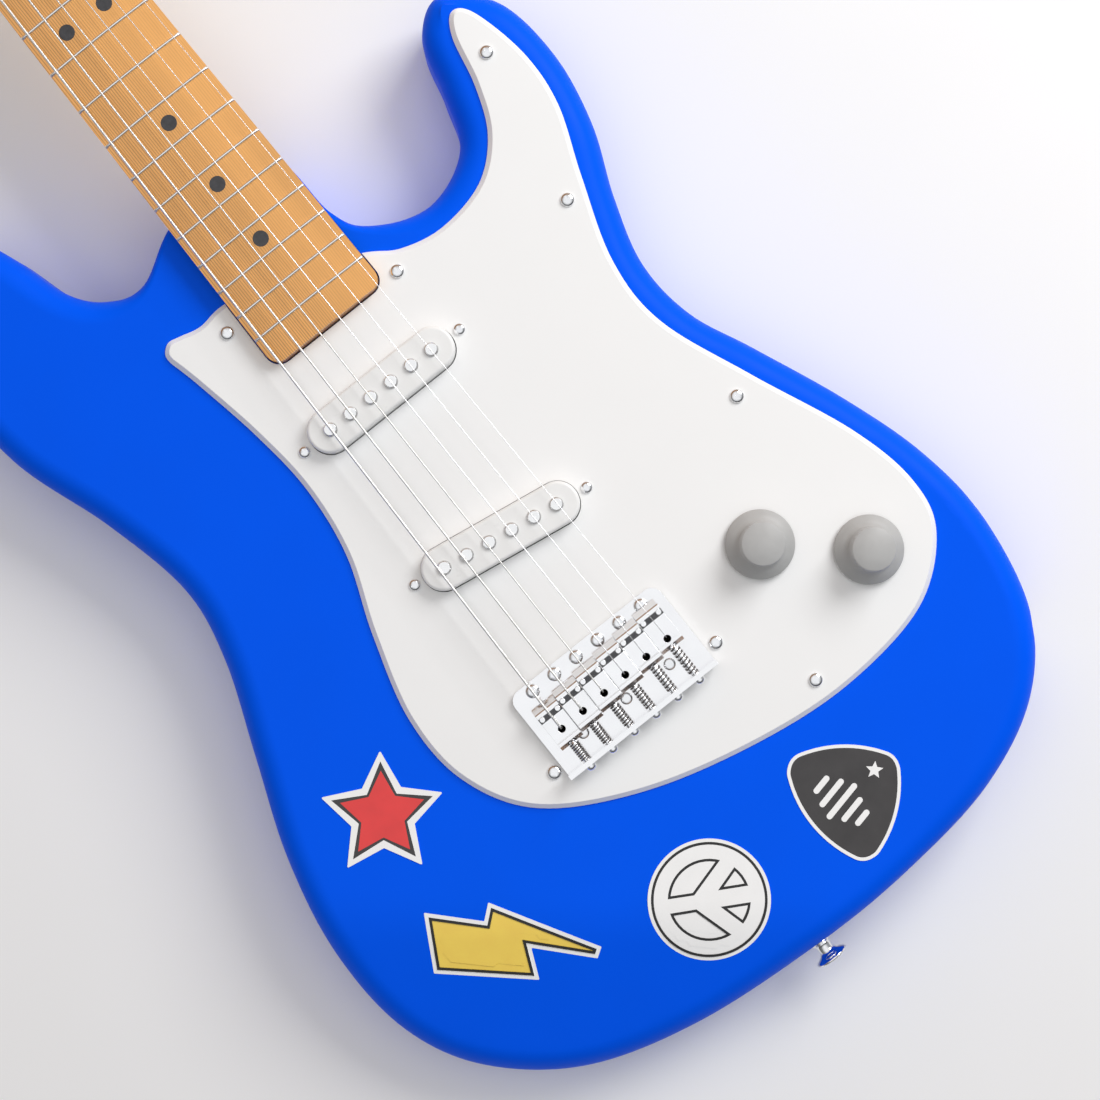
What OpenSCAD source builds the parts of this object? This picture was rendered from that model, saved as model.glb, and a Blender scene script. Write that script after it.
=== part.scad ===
// Full-size solid-body electric guitar with two pickups and a spring-loaded vibrato bridge.
// The guitar lies on its back: +Z out of the front, +Y towards the headstock, +X to the treble side.
// The origin is on the centre line under the saddles, in the plane of the back.

/* [Body] */
// Thickness of the wooden body
body_t = 45; // [43:0.5:47]
// Radius of the rounded edges of the body
edge_r = 11; // [8:0.5:12]
// Radius of the edge round the neck heel
heel_edge_r = 3; // [2:0.5:4]
// Slope of the forearm contour, degrees
forearm_slope = 12; // [9:0.5:14]
// Depth of the neck pocket
pocket_depth = 16; // [15:0.5:17]
// Thickness of the flush back cover and neck plate
cover_t = 1.8; // [1.5:0.1:2]

/* [Pickguard] */
// Thickness of the pickguard
guard_t = 2.5; // [2:0.1:2.6]
// Diameter of the heads of the small screws
small_head_d = 5.8; // [5:0.2:6]

/* [Neck] */
// Scale length
scale_len = 648; // [644:1:652]
// How far the middle saddles stand back of the true scale end
saddle_set_back = 2; // [1:0.5:3]
// Number of frets
fret_count = 21; // [19:1:21]
// Half the width of the neck at its heel
heel_half = 28.2; // [28:0.1:28.5]
// Half the width of the neck at the nut
nut_half = 21.3; // [21:0.1:22]
// Radius of the top of the fingerboard
board_r = 241; // [184:1:305]
// Thickness of the fingerboard on the centre line
board_t = 6; // [5.5:0.5:6.5]
// Height of the fingerboard above the body
board_rise = 9.5; // [9:0.5:10]
// Thickness of the headstock
head_t = 14; // [13:0.5:15]

/* [Strings] */
// Spacing of the strings at the bridge
bridge_pitch = 11.28; // [11.2:0.02:11.4]
// Spacing of the strings at the nut
nut_pitch = 7; // [6.8:0.1:7.1]
// Height of a string above the fingerboard at the nut
nut_action = 1.6; // [1.4:0.1:1.8]

/* [Pickups] */
// Length of a pickup cover
cover_len = 72; // [71:0.5:73]
// Width of a pickup cover
cover_wid = 18.5; // [18:0.5:19]
// Spacing of the pole pieces
pole_pitch = 10.5; // [10.3:0.1:10.6]
// Diameter of a pole piece
pole_d = 5.6; // [5:0.1:5.8]

/* [Controls] */
// Diameter of the skirt of a knob
knob_d = 28.8; // [26:0.2:29]
// Diameter of the grip of a knob
grip_d = 18.2; // [17:0.2:19]
// Height of the top of a knob above the body
knob_top = 20; // [18:0.5:20]
// Diameter of the plug that the output jack takes
plug_d = 6.4; // [6.35:0.05:6.5]

/* [Bridge] */
// Width of the bridge plate
plate_w = 76.2; // [76:0.1:77]
// Thickness of the bridge plate
plate_t = 2; // [1.8:0.1:2.2]
// Gap between the pickguard and the bridge plate
plate_gap = 0.7; // [0.6:0.1:0.8]
// Width of a saddle
saddle_w = 10.9; // [10.6:0.1:10.9]

/* [Tuners] */
// Spacing of the tuner posts along the headstock
post_pitch_y = 25.5; // [25:0.1:26]
// Teeth on a tuner's gear wheel
gear_teeth = 14; // [14:1:14]

/* [Hidden] */
$fn = 48;
eps = 0.05;

// Heights above the back
guard_top = body_t + guard_t;
board_top = body_t + board_rise;
board_z = board_top - board_t;
pocket_z = body_t - pocket_depth;
plate_z = guard_top + plate_gap;
plate_top = plate_z + plate_t;
head_top = body_t;
cover_top = body_t + 9.2;
pole_top = cover_top + 1.4;
mid_z = body_t / 2;

// Outline of the body, anticlockwise from the tail, and of the pickguard, from its bass tip
body_points = [
    [0, -151], [50, -149.5], [95, -142.5], [131, -125.5], [154, -97], [163, -55], [160, -18],
    [148.5, 20], [132, 60], [120, 88], [117.5, 116], [125.5, 145], [137.5, 175], [143, 207],
    [138.5, 238], [120, 256], [103.5, 246], [96.5, 223], [87, 200], [63, 190], [38, 199], [29, 213],
    [25, 244], [0, 252], [-26, 249], [-50, 237.5], [-66.5, 242.5], [-78, 256], [-86, 281],
    [-95, 300], [-107, 307], [-127, 290], [-139.5, 255], [-138, 213], [-124, 169], [-115.7, 128], [-121, 95],
    [-136, 56], [-152, 14], [-161.5, -32], [-159.5, -73], [-143, -106], [-109, -133], [-60, -147]
];
guard_points = [
    [-56.5, 211.3], [-60.3, 208.6], [-61, 204.8], [-59.5, 198.5], [-57.2, 188], [-52, 159],
    [-49.5, 129], [-53.5, 97.5], [-65.5, 65], [-75.5, 28], [-73.5, -5], [-56, -33.5], [-17.5, -55],
    [30, -68], [74.5, -72.5], [117, -66], [142, -46.5], [148, -23.5], [141.5, 8], [123, 52],
    [107.5, 92.5], [107.5, 124], [119, 159], [130, 188.5], [132, 213.5], [126.5, 239],
    [119.5, 245.5], [113, 237], [107.9, 215.5], [99.5, 196.5], [84, 183], [61.5, 178.4],
    [42.5, 182.2], [28.5, 190.8], [0, 203], [-28, 209.3], [-42, 208.3], [-51, 210.3]
];

// A closed smooth curve through the points, with as many steps between each two
function blend(a, b, c, d, t) = 0.5 * (
    2 * b + (c - a) * t + (2 * a - 5 * b + 4 * c - d) * t ^ 2 + (3 * b - a - 3 * c + d) * t ^ 3
);
function smooth_loop(p, steps) = let (n = len(p)) [
    for (i = [0:n - 1], k = [0:steps - 1])
        blend(p[(i + n - 1) % n], p[i], p[(i + 1) % n], p[(i + 2) % n], k / steps)
];
body_loop = smooth_loop(body_points, 3);
guard_loop = smooth_loop(guard_points, 4);

// Neck and strings. String 0 is the lowest, on the bass side
nut_y = scale_len - saddle_set_back;
heel_y = 175;
board_axis_z = board_top - board_r;
function neck_half(y) = heel_half + (nut_half - heel_half) * (y - heel_y) / (nut_y - heel_y);
// The frets past the octave are spaced a little wider than those before it
fret_12_y = 324.7;
upper_scale = 673;
function fret_y(n) = n < 12
    ? nut_y - (nut_y - fret_12_y) * 2 * (1 - pow(2, -n / 12))
    : fret_12_y - upper_scale * (0.5 - pow(2, -n / 12));
function board_drop(x) = x * x / (2 * board_r);
function nut_x(i) = (i - 2.5) * nut_pitch;
function bridge_x(i) = (i - 2.5) * bridge_pitch;
string_r = [0.58, 0.46, 0.33, 0.22, 0.17, 0.13];

// Bridge
pivot_y = 6.2;
plate_front = 10;
plate_rear = -31.7;
flange_t = 2.2;
block_screw_y = -20;
crown_z = body_t + 14;
function crown_y(i) = -3 + i;
function saddle_z(i) = crown_z - board_drop(bridge_x(i));
function hole_y(i) = -13 + 0.4 * i;
flat_drop = 1.8;
block_bottom = 8;
block_half = 34.5;
screw_axis_z = plate_top + 3.7;

// Controls
knob_pos = [[82, -4.7], [115.6, -34.1]];
jack_pos = [150.8, -102.6];
jack_turn = -31;
jack_recess = 2.6;

// Tuners
tuner_turn = atan(nut_pitch / post_pitch_y);
post_r = 3;
worm_offset = 8;
worm_z = head_top - head_t - 6.25;
gear_r = 5.5;
worm_lead = 2 * PI * gear_r / gear_teeth;
first_post_y = 674;
function post_pos(i) = [nut_x(i) - post_r - 0.4, first_post_y + post_pitch_y * i, 0];

// ---------------------------------------------------------------- helpers
module pick(points) for (p = points) translate(p) children();

// A rod between two points
module rod(p, q, r) {
    d = q - p;
    translate(p) rotate([0, acos(d.z / norm(d)), atan2(d.y, d.x)]) cylinder(r = r, h = norm(d), $fn = 24);
}

// An outline with two round ends
module stadium(length, width) offset(r = width / 2) square([length - width, 0.02], center = true);

module rounded(size, r) offset(r = r) square([size.x - 2 * r, size.y - 2 * r], center = true);

// A screw along -Z with its domed, cross-slotted head on top, the underside of the head at 0
module dome_screw(head_r, head_h, shank_r, length, slot = 0.9) {
    difference() {
        rotate_extrude() polygon(concat(
            [for (a = [0:15:90]) [head_r * cos(a), head_h * (0.3 + 0.7 * sin(a))]],
            [[0, -length], [0.3, -length], [shank_r, 2.2 - length], [shank_r, 0], [head_r, 0]]
        ));
        for (a = [0, 90]) rotate(a) translate([-head_r * 0.6, -slot / 2, head_h * 0.45])
            cube([head_r * 1.2, slot, head_h]);
    }
}

// A screw with a flat countersunk head, whose face is at 0
module flat_screw(head_r, shank_r, length) {
    head_h = head_r - shank_r;
    difference() {
        rotate_extrude() polygon([[0, 0], [head_r, 0], [head_r, -0.3], [shank_r, -head_h - 0.3],
            [shank_r, 2.2 - length], [0.3, -length], [0, -length]]);
        for (a = [0, 90]) rotate(a) translate([-head_r * 0.55, -0.4, -1]) cube([head_r * 1.1, 0.8, 2]);
    }
}

// A wire along a path, which never runs along the reference direction
function cross_ring(p, t, ref, r, sides) =
    let (u = cross(ref, t) / norm(cross(ref, t)), v = cross(t, u))
    [for (j = [0:sides - 1]) let (a = 360 * j / sides) p + r * (u * cos(a) + v * sin(a))];
function along(path, k) =
    let (d = path[min(k + 1, len(path) - 1)] - path[max(k - 1, 0)]) d / norm(d);
module wire(path, r, ref = [0, 1, 0], sides = 4) {
    n = len(path);
    polyhedron(
        points = [for (k = [0:n - 1]) each cross_ring(path[k], along(path, k), ref, r, sides)],
        faces = concat(
            [[for (j = [0:sides - 1]) j]],
            [for (k = [0:n - 2], j = [0:sides - 1]) let (m = (j + 1) % sides, a = sides * k, b = a + sides)
                each [[a + j, b + m, a + m], [a + j, b + j, b + m]]],
            [[for (j = [sides - 1:-1:0]) sides * (n - 1) + j]]
        )
    );
}
// A helix of the given radius along +Y from y0 to y1
function helix_y(r, y0, y1, turns, steps = 6) = [
    for (k = [0:turns * steps]) let (a = 360 * k / steps)
        [r * sin(a), y0 + (y1 - y0) * k / (turns * steps), r * cos(a)]
];

// ---------------------------------------------------------------- body
// The edge of the body is a ring of wedges, each the hull of two sections
function outward(loop, i) =
    let (n = len(loop), d = loop[(i + 1) % n] - loop[(i + n - 1) % n]) [d.y, -d.x] / norm(d);
function edge_radius(p) =
    heel_edge_r + (edge_r - heel_edge_r) * min(1, max(0, (norm(p - [0, 232]) - 38) / 24));
wedge_overlap = 3;
function edge_section(r) = concat(
    [[r + wedge_overlap, 0]],
    [for (a = [0:22.5:90]) [r - r * sin(a), r - r * cos(a)]],
    [for (a = [90:-22.5:0]) [r - r * sin(a), body_t - r + r * cos(a)]],
    [[r + wedge_overlap, body_t]]
);
function edge_ring(i) =
    let (p = body_loop[i % len(body_loop)], out = outward(body_loop, i % len(body_loop)))
    [for (s = edge_section(edge_radius(p))) [p.x - out.x * s.x, p.y - out.y * s.x, s.y]];

module edge_wedge(i) {
    first = edge_ring(i);
    n = len(first);
    hull() polyhedron(
        points = concat(first, edge_ring(i + 1)),
        faces = [[for (k = [0:n - 1]) k], [for (k = [n - 1:-1:0]) n + k]]
    );
}

// Plan of the neck, widened by a gap
module neck_plan(gap, y0, y1) polygon([
    [-neck_half(y0) - gap, y0], [neck_half(y0) + gap, y0],
    [neck_half(y1) + gap, y1], [-neck_half(y1) - gap, y1]
]);

// The same from the heel on, with the heel's corners rounded
module heel_plan(gap, y1) offset(r = heel_corner + gap) offset(delta = -heel_corner)
    neck_plan(0, heel_y, y1);
heel_corner = 6;

// The forearm contour is a prism across the bass corner: level, then an arc, then a slope
contour_from = [-157, 0];
contour_turn = -128.7;
contour_arc_r = 90;
contour_reach = 130;
contour_curve = concat(
    [for (a = [0:2:forearm_slope]) [contour_arc_r * sin(a), -contour_arc_r * (1 - cos(a))]],
    [[contour_reach, -contour_arc_r * (1 - cos(forearm_slope))
        - (contour_reach - contour_arc_r * sin(forearm_slope)) * tan(forearm_slope)]]
);
module across_contour(length) translate([contour_from.x, contour_from.y, body_t])
    rotate(contour_turn) rotate([90, 0, 0]) linear_extrude(length, center = true) children();

module contours() {
    across_contour(700) polygon(concat(contour_curve, [[contour_reach, 20], [0, 20]]));
    translate([-146, 125, -225]) sphere(r = 241, $fn = 110);
}

// The neck pickup, then the bridge pickup, which stands askew
pickup_pos = [[0, 141, 0], [1, 64, 0]];
pickup_turn = [0, -8.9];
pickup_screw_x = 40.5;
module pickup_place(k) translate(pickup_pos[k]) rotate(pickup_turn[k]) children();

control_plan = [[62, 28], [106, 28], [126, 0], [131, -30], [112, -58], [76, -58], [62, -34]];
module top_cavities() {
    translate([0, 0, pocket_z]) linear_extrude(40) heel_plan(0.3, 306);
    translate([0, 0, 26]) linear_extrude(30) {
        for (k = [0, 1]) pickup_place(k) rounded([94, 28], 5);
        translate([4, 102]) square([44, 84], center = true);
        translate([58, 42]) rotate(-32) square([44, 14], center = true);
    }
    translate([0, 0, 9]) linear_extrude(50) offset(r = 4) polygon(control_plan);
    translate([0, (block_rout.x + block_rout.y) / 2, -1]) linear_extrude(60)
        square([2 * block_half + 4, block_rout.y - block_rout.x], center = true);
}
block_rout = [-30, -5.5];

spring_room = [-33, 33, -10, 118];
claw_screw_x = 16;
module back_cavities() {
    translate([spring_room[0], spring_room[2], -1])
        cube([spring_room[1] - spring_room[0], spring_room[3] - spring_room[2], 19]);
    translate([-block_half - 2, -44, -1]) cube([2 * block_half + 4, 38.5, 25]);
    translate([0, cover_mid_y, -1]) linear_extrude(1 + cover_t) rounded(cover_size + [0.6, 0.6], 6);
    translate([neck_plate_pos.x, neck_plate_pos.y, -1]) linear_extrude(1 + cover_t)
        rounded(neck_plate_size + [0.5, 0.5], 4);
}
cover_size = [86, 172];
cover_mid_y = 39;
neck_plate_pos = [-2, 212];
neck_plate_size = [44, 60];
neck_bolt_points = [for (x = [-17, 17], y = [-23, 23]) [neck_plate_pos.x + x, neck_plate_pos.y + y, 0]];
guard_screw_points = [
    [120, 223], [108.3, 155], [35.4, 175.5], [-35, 199], [112.6, 48.7], [65.5, -62.5], [43, -25],
    [-42, -25.5]
];
cover_screw_points = [for (x = [-39.6, 39.6], y = [-38, 10, 66, 118]) [x, y, 0]];

module jack_frame() translate([jack_pos.x, jack_pos.y, mid_z]) rotate(jack_turn) rotate([0, 90, 0])
    children();
module tail_frame() translate([0, -151, mid_z]) rotate([90, 0, 0]) children();
module horn_frame() translate([-107, 307, mid_z]) rotate(12.5) rotate([-90, 0, 0]) children();

module body_holes() {
    pick([for (p = guard_screw_points) [p.x, p.y, body_t - 13]]) cylinder(r = 1.5, h = 20, $fn = 16);
    pick(cover_screw_points) cylinder(r = 1.6, h = 13, $fn = 16);
    pick(neck_bolt_points) cylinder(r = 2.5, h = 60, center = true, $fn = 24);
    for (i = [0:5]) translate([bridge_x(i), pivot_y, body_t - 22]) cylinder(r = 1.7, h = 40, $fn = 16);
    for (s = [-1, 1]) translate([s * claw_screw_x, spring_room[3] - 1, 9.5]) rotate([-90, 0, 0])
        cylinder(r = 2.2, h = 32, $fn = 24);
    rod(jack_bore_end, jack_lead[2], 3.5);
    translate([34, -16, 24]) rotate([0, 90, 0]) cylinder(r = 3, h = 40, $fn = 16);
    jack_frame() {
        translate([0, 0, -jack_recess]) cylinder(r = 16, h = 12);
        translate([0, 0, -48]) cylinder(r = 11, h = 50);
    }
    tail_frame() translate([0, 0, -24]) cylinder(r = 1.9, h = 30, $fn = 16);
    horn_frame() translate([0, 0, -24]) cylinder(r = 1.9, h = 30, $fn = 16);
}

module body() color("#0a55ee") difference() {
    union() {
        for (i = [0:len(body_loop) - 1]) edge_wedge(i);
        linear_extrude(body_t) offset(delta = -5) polygon([
            for (i = [0:len(body_loop) - 1])
                body_loop[i] - outward(body_loop, i) * (edge_radius(body_loop[i]) - wedge_overlap)
        ]);
    }
    contours();
    top_cavities();
    back_cavities();
    body_holes();
}

module pickguard() color("#f2f2f2") translate([0, 0, body_t]) linear_extrude(guard_t) difference() {
    polygon(guard_loop);
    heel_plan(0.7, 266);
    for (k = [0, 1]) pickup_place(k) {
        stadium(cover_len + 0.8, cover_wid + 0.8);
        for (s = [-1, 1]) translate([pickup_screw_x * s, 0]) circle(r = 1.7);
    }
    for (p = knob_pos) translate(p) circle(r = 4.95);
    for (p = guard_screw_points) translate(p) circle(r = 1.6);
    for (i = [0:5]) translate([bridge_x(i), pivot_y]) circle(r = 2);
    translate([0, (block_rout.x + block_rout.y) / 2]) square([2 * block_half + 3, 23.5], center = true);
}

module pickguard_screws() color("#c9c9cc") pick([for (p = guard_screw_points) [p.x, p.y, guard_top + 0.02]])
    dome_screw(small_head_d / 2, 1.7, 1.4, 14);

module back_cover() color("#f2f2f2") difference() {
    translate([0, cover_mid_y, 0]) linear_extrude(cover_t - eps) rounded(cover_size, 6);
    for (i = [0:5]) translate([bridge_x(i), hole_y(i), -1]) cylinder(r = 4, h = 5);
    pick(cover_screw_points) translate([0, 0, -1]) cylinder(r = 1.6, h = 5);
    pick(cover_screw_points) translate([0, 0, -eps]) cylinder(r1 = 3.3, r2 = 1.6, h = 1.7);
}

module back_cover_screws() color("#c9c9cc") pick(cover_screw_points) translate([0, 0, 0.05]) mirror([0, 0, 1])
    flat_screw(2.75, 1.5, 12);

module neck_plate() color("#c9c9cc") difference() {
    translate([neck_plate_pos.x, neck_plate_pos.y, 0]) linear_extrude(cover_t - eps)
        rounded(neck_plate_size, 4);
    pick(neck_bolt_points) translate([0, 0, -1]) cylinder(r = 2.4, h = 5);
    pick(neck_bolt_points) translate([0, 0, -eps]) cylinder(r1 = 4.25, r2 = 2.4, h = 1.85);
}

module neck_bolts() color("#c9c9cc") pick(neck_bolt_points) translate([0, 0, 0.1]) mirror([0, 0, 1])
    flat_screw(3.6, 2.2, 44);

module strap_button() {
    difference() {
        rotate_extrude() polygon([[0, 0.1], [5.6, 0.1], [5.2, 1.2], [3.6, 2.8], [3.4, 6], [4.2, 7.6],
            [6.9, 8.8], [7.35, 9.4], [7.35, 9.9], [6.9, 10.4], [4.2, 10.7], [0, 10.7]]);
        cylinder(r = 1.9, h = 12);
        translate([0, 0, 8.6]) cylinder(r1 = 1.9, r2 = 4.1, h = 2.2);
    }
    translate([0, 0, 10.4]) flat_screw(3.7, 1.8, 32);
}

module strap_buttons() color("#d8d8dc") {
    tail_frame() strap_button();
    horn_frame() strap_button();
}

// ---------------------------------------------------------------- neck
// A slice of the neck shaft: flat on top and round below
module shaft_slice(y, depth) translate([0, y, board_z]) rotate([90, 0, 0]) linear_extrude(0.5)
    polygon([for (a = [180:15:360]) [neck_half(y) * cos(a), depth * min(0, sin(a))]]);

head_points = [
    [-21.3, 640], [-22.5, 650], [-37.5, 662], [1.5, 806], [8, 828], [31, 827], [37, 800], [27, 690],
    [21.5, 652], [21.3, 640]
];

module neck_blank() {
    translate([0, 0, pocket_z]) linear_extrude(board_z - pocket_z) intersection() {
        neck_plan(0, heel_y, 256);
        heel_plan(0, 280);
    }
    hull() {
        translate([0, 0, pocket_z + 1]) linear_extrude(board_z - pocket_z - 1) neck_plan(0, 252, 256);
        shaft_slice(284, 16.5);
    }
    hull() {
        shaft_slice(284, 16.5);
        shaft_slice(450, 15.5);
    }
    hull() {
        shaft_slice(450, 15.5);
        shaft_slice(634, 14.5);
    }
    hull() {
        shaft_slice(634, 14.5);
        translate([-nut_half, 650, head_top - head_t]) cube([2 * nut_half, 2, head_t]);
    }
    translate([nut_half, 0, 0]) rotate([0, -90, 0]) linear_extrude(2 * nut_half)
        polygon([[head_top - head_t, 640], [board_z, 630], [board_z, nut_y + 5], [head_top, nut_y + 16],
            [head_top - head_t, nut_y + 16]]);
    translate([0, 0, head_top - head_t]) linear_extrude(head_t) offset(r = 6) offset(delta = -6)
        polygon(head_points);
}

module neck() color("#d9a45c") difference() {
    neck_blank();
    translate([-3.2, 182, board_z - 10]) cube([6.4, 458, 12]);
    pick(neck_bolt_points) translate([0, 0, pocket_z - 1]) cylinder(r = 2.25, h = 17.5);
    for (i = [0:5]) translate(post_pos(i)) translate([0, 0, 20]) cylinder(r = 5.05, h = 40);
    tuner_screw_holes(1.15, 8);
    translate([13.9, 712, head_top - 9]) cylinder(r = 1.3, h = 12);
}

module fingerboard() color("#dda659") difference() {
    intersection() {
        translate([0, 0, board_z + 0.02]) linear_extrude(board_t + 1) intersection() {
            neck_plan(0, heel_y, nut_y - 0.1);
            heel_plan(0, nut_y + 20);
        }
        translate([0, 0, board_axis_z]) rotate([-90, 0, 0]) cylinder(r = board_r, h = 900, $fn = 360);
    }
    for (n = [1:fret_count]) fret_ring(n, fret_slot, 2);
    dot_places() cylinder(r = 3.4, h = 6, center = true);
}

fret_slot = [[board_r - 2, -0.3], [board_r - 2, 0.3], [board_r + 3, 0.3], [board_r + 3, -0.3]];
// A fret's section swept round the fingerboard's radius
module fret_ring(n, section, extra = 0) {
    y = fret_y(n);
    half = asin(neck_half(y) / board_r) + extra;
    translate([0, y, board_axis_z]) rotate([90, 0, 0])
        rotate_extrude(angle = 2 * half, start = 90 - half, $fn = 360) polygon(section);
}
fret_section = [
    [board_r - 1.8, -0.25], [board_r - 1.8, 0.25], [board_r + 0.01, 0.25], [board_r + 0.01, 1.15],
    [board_r + 0.45, 1.1], [board_r + 0.85, 0.75], [board_r + 1.1, 0.25], [board_r + 1.1, -0.25],
    [board_r + 0.85, -0.75], [board_r + 0.45, -1.1], [board_r + 0.01, -1.15], [board_r + 0.01, -0.25]
];
module frets() color("#d4d4d8") for (n = [1:fret_count]) fret_ring(n, fret_section);

// Position dots: two at the octave, one at each other place, square to the curved board
dot_frets = [3, 5, 7, 9, 15, 17, 19];
function between_frets(n) = (fret_y(n) + fret_y(n - 1)) / 2;
module dot_places() {
    for (n = dot_frets) translate([0, between_frets(n), board_top]) children();
    for (s = [-1, 1]) translate([0, between_frets(12), board_axis_z]) rotate([0, s * 2.3, 0])
        translate([0, 0, board_r]) children();
}
module fret_markers() color("#404044") dot_places() translate([0, 0, -2.9]) cylinder(r = 3.35, h = 2.9);

module nut() color("#f4efe2") difference() {
    translate([-nut_half, nut_y, board_z + 0.02]) cube([2 * nut_half, 3.4, board_t + 2.6]);
    for (i = [0:5]) translate([nut_x(i), nut_y - 1, nut_string_z(i)]) {
        rotate([-90, 0, 0]) cylinder(r = string_r[i] + 0.06, h = 6);
        translate([-string_r[i] - 0.06, 0, 0]) cube([2 * string_r[i] + 0.12, 6, 5]);
    }
}
function nut_string_z(i) = board_top - board_drop(nut_x(i)) + nut_action + string_r[i];

module string_tree() color("#d4d4d8") translate([13.9, 712, 0]) {
    difference() {
        translate([-5.6, -2, 51.4]) cube([11.2, 4, 1.4]);
        cylinder(r = 1.35, h = 60);
    }
    difference() {
        translate([0, 0, head_top + 0.02]) cylinder(r = 2, h = 51.35 - head_top);
        cylinder(r = 1.35, h = 60);
    }
    translate([0, 0, 52.85]) dome_screw(2.3, 1.4, 1.25, 16, 0.7);
}

module truss_rod() color("#8a8d92") {
    translate([0, 184, board_z - 6]) rotate([-90, 0, 0]) cylinder(r = 2.9, h = 450);
    translate([0, 182.6, board_z - 6]) rotate([-90, 0, 0]) cylinder(r = 3.1, h = 1.3, $fn = 6);
}

// ---------------------------------------------------------------- pickups
module pole_places() for (j = [0:5]) translate([(j - 2.5) * pole_pitch, 0, 0]) children();

module pickup_covers() color("#f4f4f4") for (k = [0, 1]) pickup_place(k) difference() {
    translate([0, 0, 38.05]) linear_extrude(cover_top - 38.05) stadium(cover_len, cover_wid);
    translate([0, 0, 37]) linear_extrude(cover_top - 38.2) stadium(cover_len - 2.4, cover_wid - 2.4);
    pole_places() cylinder(r = pole_d / 2 + 0.1, h = 70);
}

module pickup_coils() color("#2a2a2c") for (k = [0, 1]) pickup_place(k) difference() {
    union() {
        translate([0, 0, 36]) linear_extrude(2) union() {
            rounded([90, 12], 4);
            rounded([70, 21], 4);
        }
        translate([0, 0, 37.9]) linear_extrude(12) stadium(63, 13);
        translate([0, 0, 49.8]) linear_extrude(1.6) stadium(67, 15);
    }
    pole_places() cylinder(r = pole_d / 2 + 0.03, h = 70);
    for (s = [-1, 1]) translate([pickup_screw_x * s, 0, 0]) cylinder(r = 1.5, h = 50);
}

module pole_pieces() color("#d8d8dc") for (k = [0, 1]) pickup_place(k) pole_places()
    rotate_extrude() polygon([[0, 35.5], [pole_d / 2, 35.5], [pole_d / 2, pole_top - 0.4],
        [pole_d / 2 - 0.4, pole_top], [0, pole_top]]);

module pickup_screws() color("#c9c9cc") for (k = [0, 1], s = [-1, 1]) pickup_place(k)
    translate([pickup_screw_x * s, 0, guard_top + 0.02]) dome_screw(2.45, 1.6, 1.4, 17, 0.8);

module pickup_springs() color("#9a9da2") for (k = [0, 1], s = [-1, 1]) pickup_place(k)
    translate([pickup_screw_x * s, 0, 38.4]) rotate([90, 0, 0]) wire(helix_y(2.3, 0, 6.2, 4), 0.35);

// ---------------------------------------------------------------- controls
module pot_housings() color("#a9acb0") for (p = knob_pos) translate(p) {
    difference() {
        union() {
            translate([0, 0, 35.6]) cylinder(r = 12, h = body_t - 35.65);
            translate([0, 0, body_t - 0.1]) cylinder(r = 4.75, h = 6);
            for (x = [-5, 0, 5]) translate([x - 1, -17.5, 40]) cube([2, 7, 0.8]);
        }
        translate([0, 0, 36.8]) cylinder(r = 10.8, h = body_t - 38.4);
        cylinder(r = 3.08, h = 80);
    }
    translate([0, 0, guard_top + 0.02]) difference() {
        cylinder(r = 7, h = 2.4, $fn = 6);
        translate([0, 0, -1]) cylinder(r = 4.8, h = 5);
    }
}

module pot_shaft(p) color("#d0b060") translate(p) {
    translate([0, 0, 34.5]) cylinder(r = 3, h = body_t + 16.5 - 34.5);
    translate([0, 0, 38.4]) cylinder(r = 9.5, h = 2);
}
module volume_pot_shaft() pot_shaft(knob_pos[0]);
module tone_pot_shaft() pot_shaft(knob_pos[1]);

knob_section = [
    [3.03, 12.6], [3.03, 4.2], [8.3, 4.2], [8.3, 0], [knob_d / 2 - 0.3, 0], [knob_d / 2, 0.3],
    [knob_d / 2, 1.3], [knob_d / 2 - 0.5, 1.8], [grip_d / 2 + 2.2, 3.9], [grip_d / 2 + 0.6, 4.8],
    [grip_d / 2 + 0.1, 6], [grip_d / 2, 7], [grip_d / 2 - 0.2, knob_top - 5],
    [grip_d / 2 - 0.9, knob_top - 4.2], [grip_d / 2 - 1.8, knob_top - 4], [0, knob_top - 4], [0, 12.6]
];
module knob(p) color("#c4c4c2") translate([p.x, p.y, body_t + 4]) rotate_extrude() polygon(knob_section);
module volume_knob() knob(knob_pos[0]);
module tone_knob() knob(knob_pos[1]);

// Leads between the two pots, from the pickups and from the jack, and the tone capacitor
pot_lead = [[82, -22.6, 40.4], [83, -24, 36], [90, -30, 30], [104, -40, 30], [114, -51.8, 36],
    [115.6, -52, 40.4]];
pickup_lead = [[18, 96, 29], [20, 78, 28], [30, 60, 28], [44, 52, 28.5], [60, 38, 28], [70, 18, 26],
    [72, -6, 28], [76.9, -22.4, 39]];
jack_bore_end = [117, -78, 24.5];
jack_lead = [[122.3, -85.5, 27.5], jack_bore_end, [108, -54, 24], [100, -42, 24], [92, -30, 30],
    [87, -22.5, 39]];
module wiring_loom() color("#222222") {
    wire(pot_lead, 0.7, [1, 0, 0], 8);
    wire(pickup_lead, 0.9, [1, 0, 0], 8);
    wire(jack_lead, 0.9, [1, 0, 0], 8);
    translate([97, -56, 24]) rotate([0, 90, 20]) cylinder(r = 2.4, h = 11, center = true);
}

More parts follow.
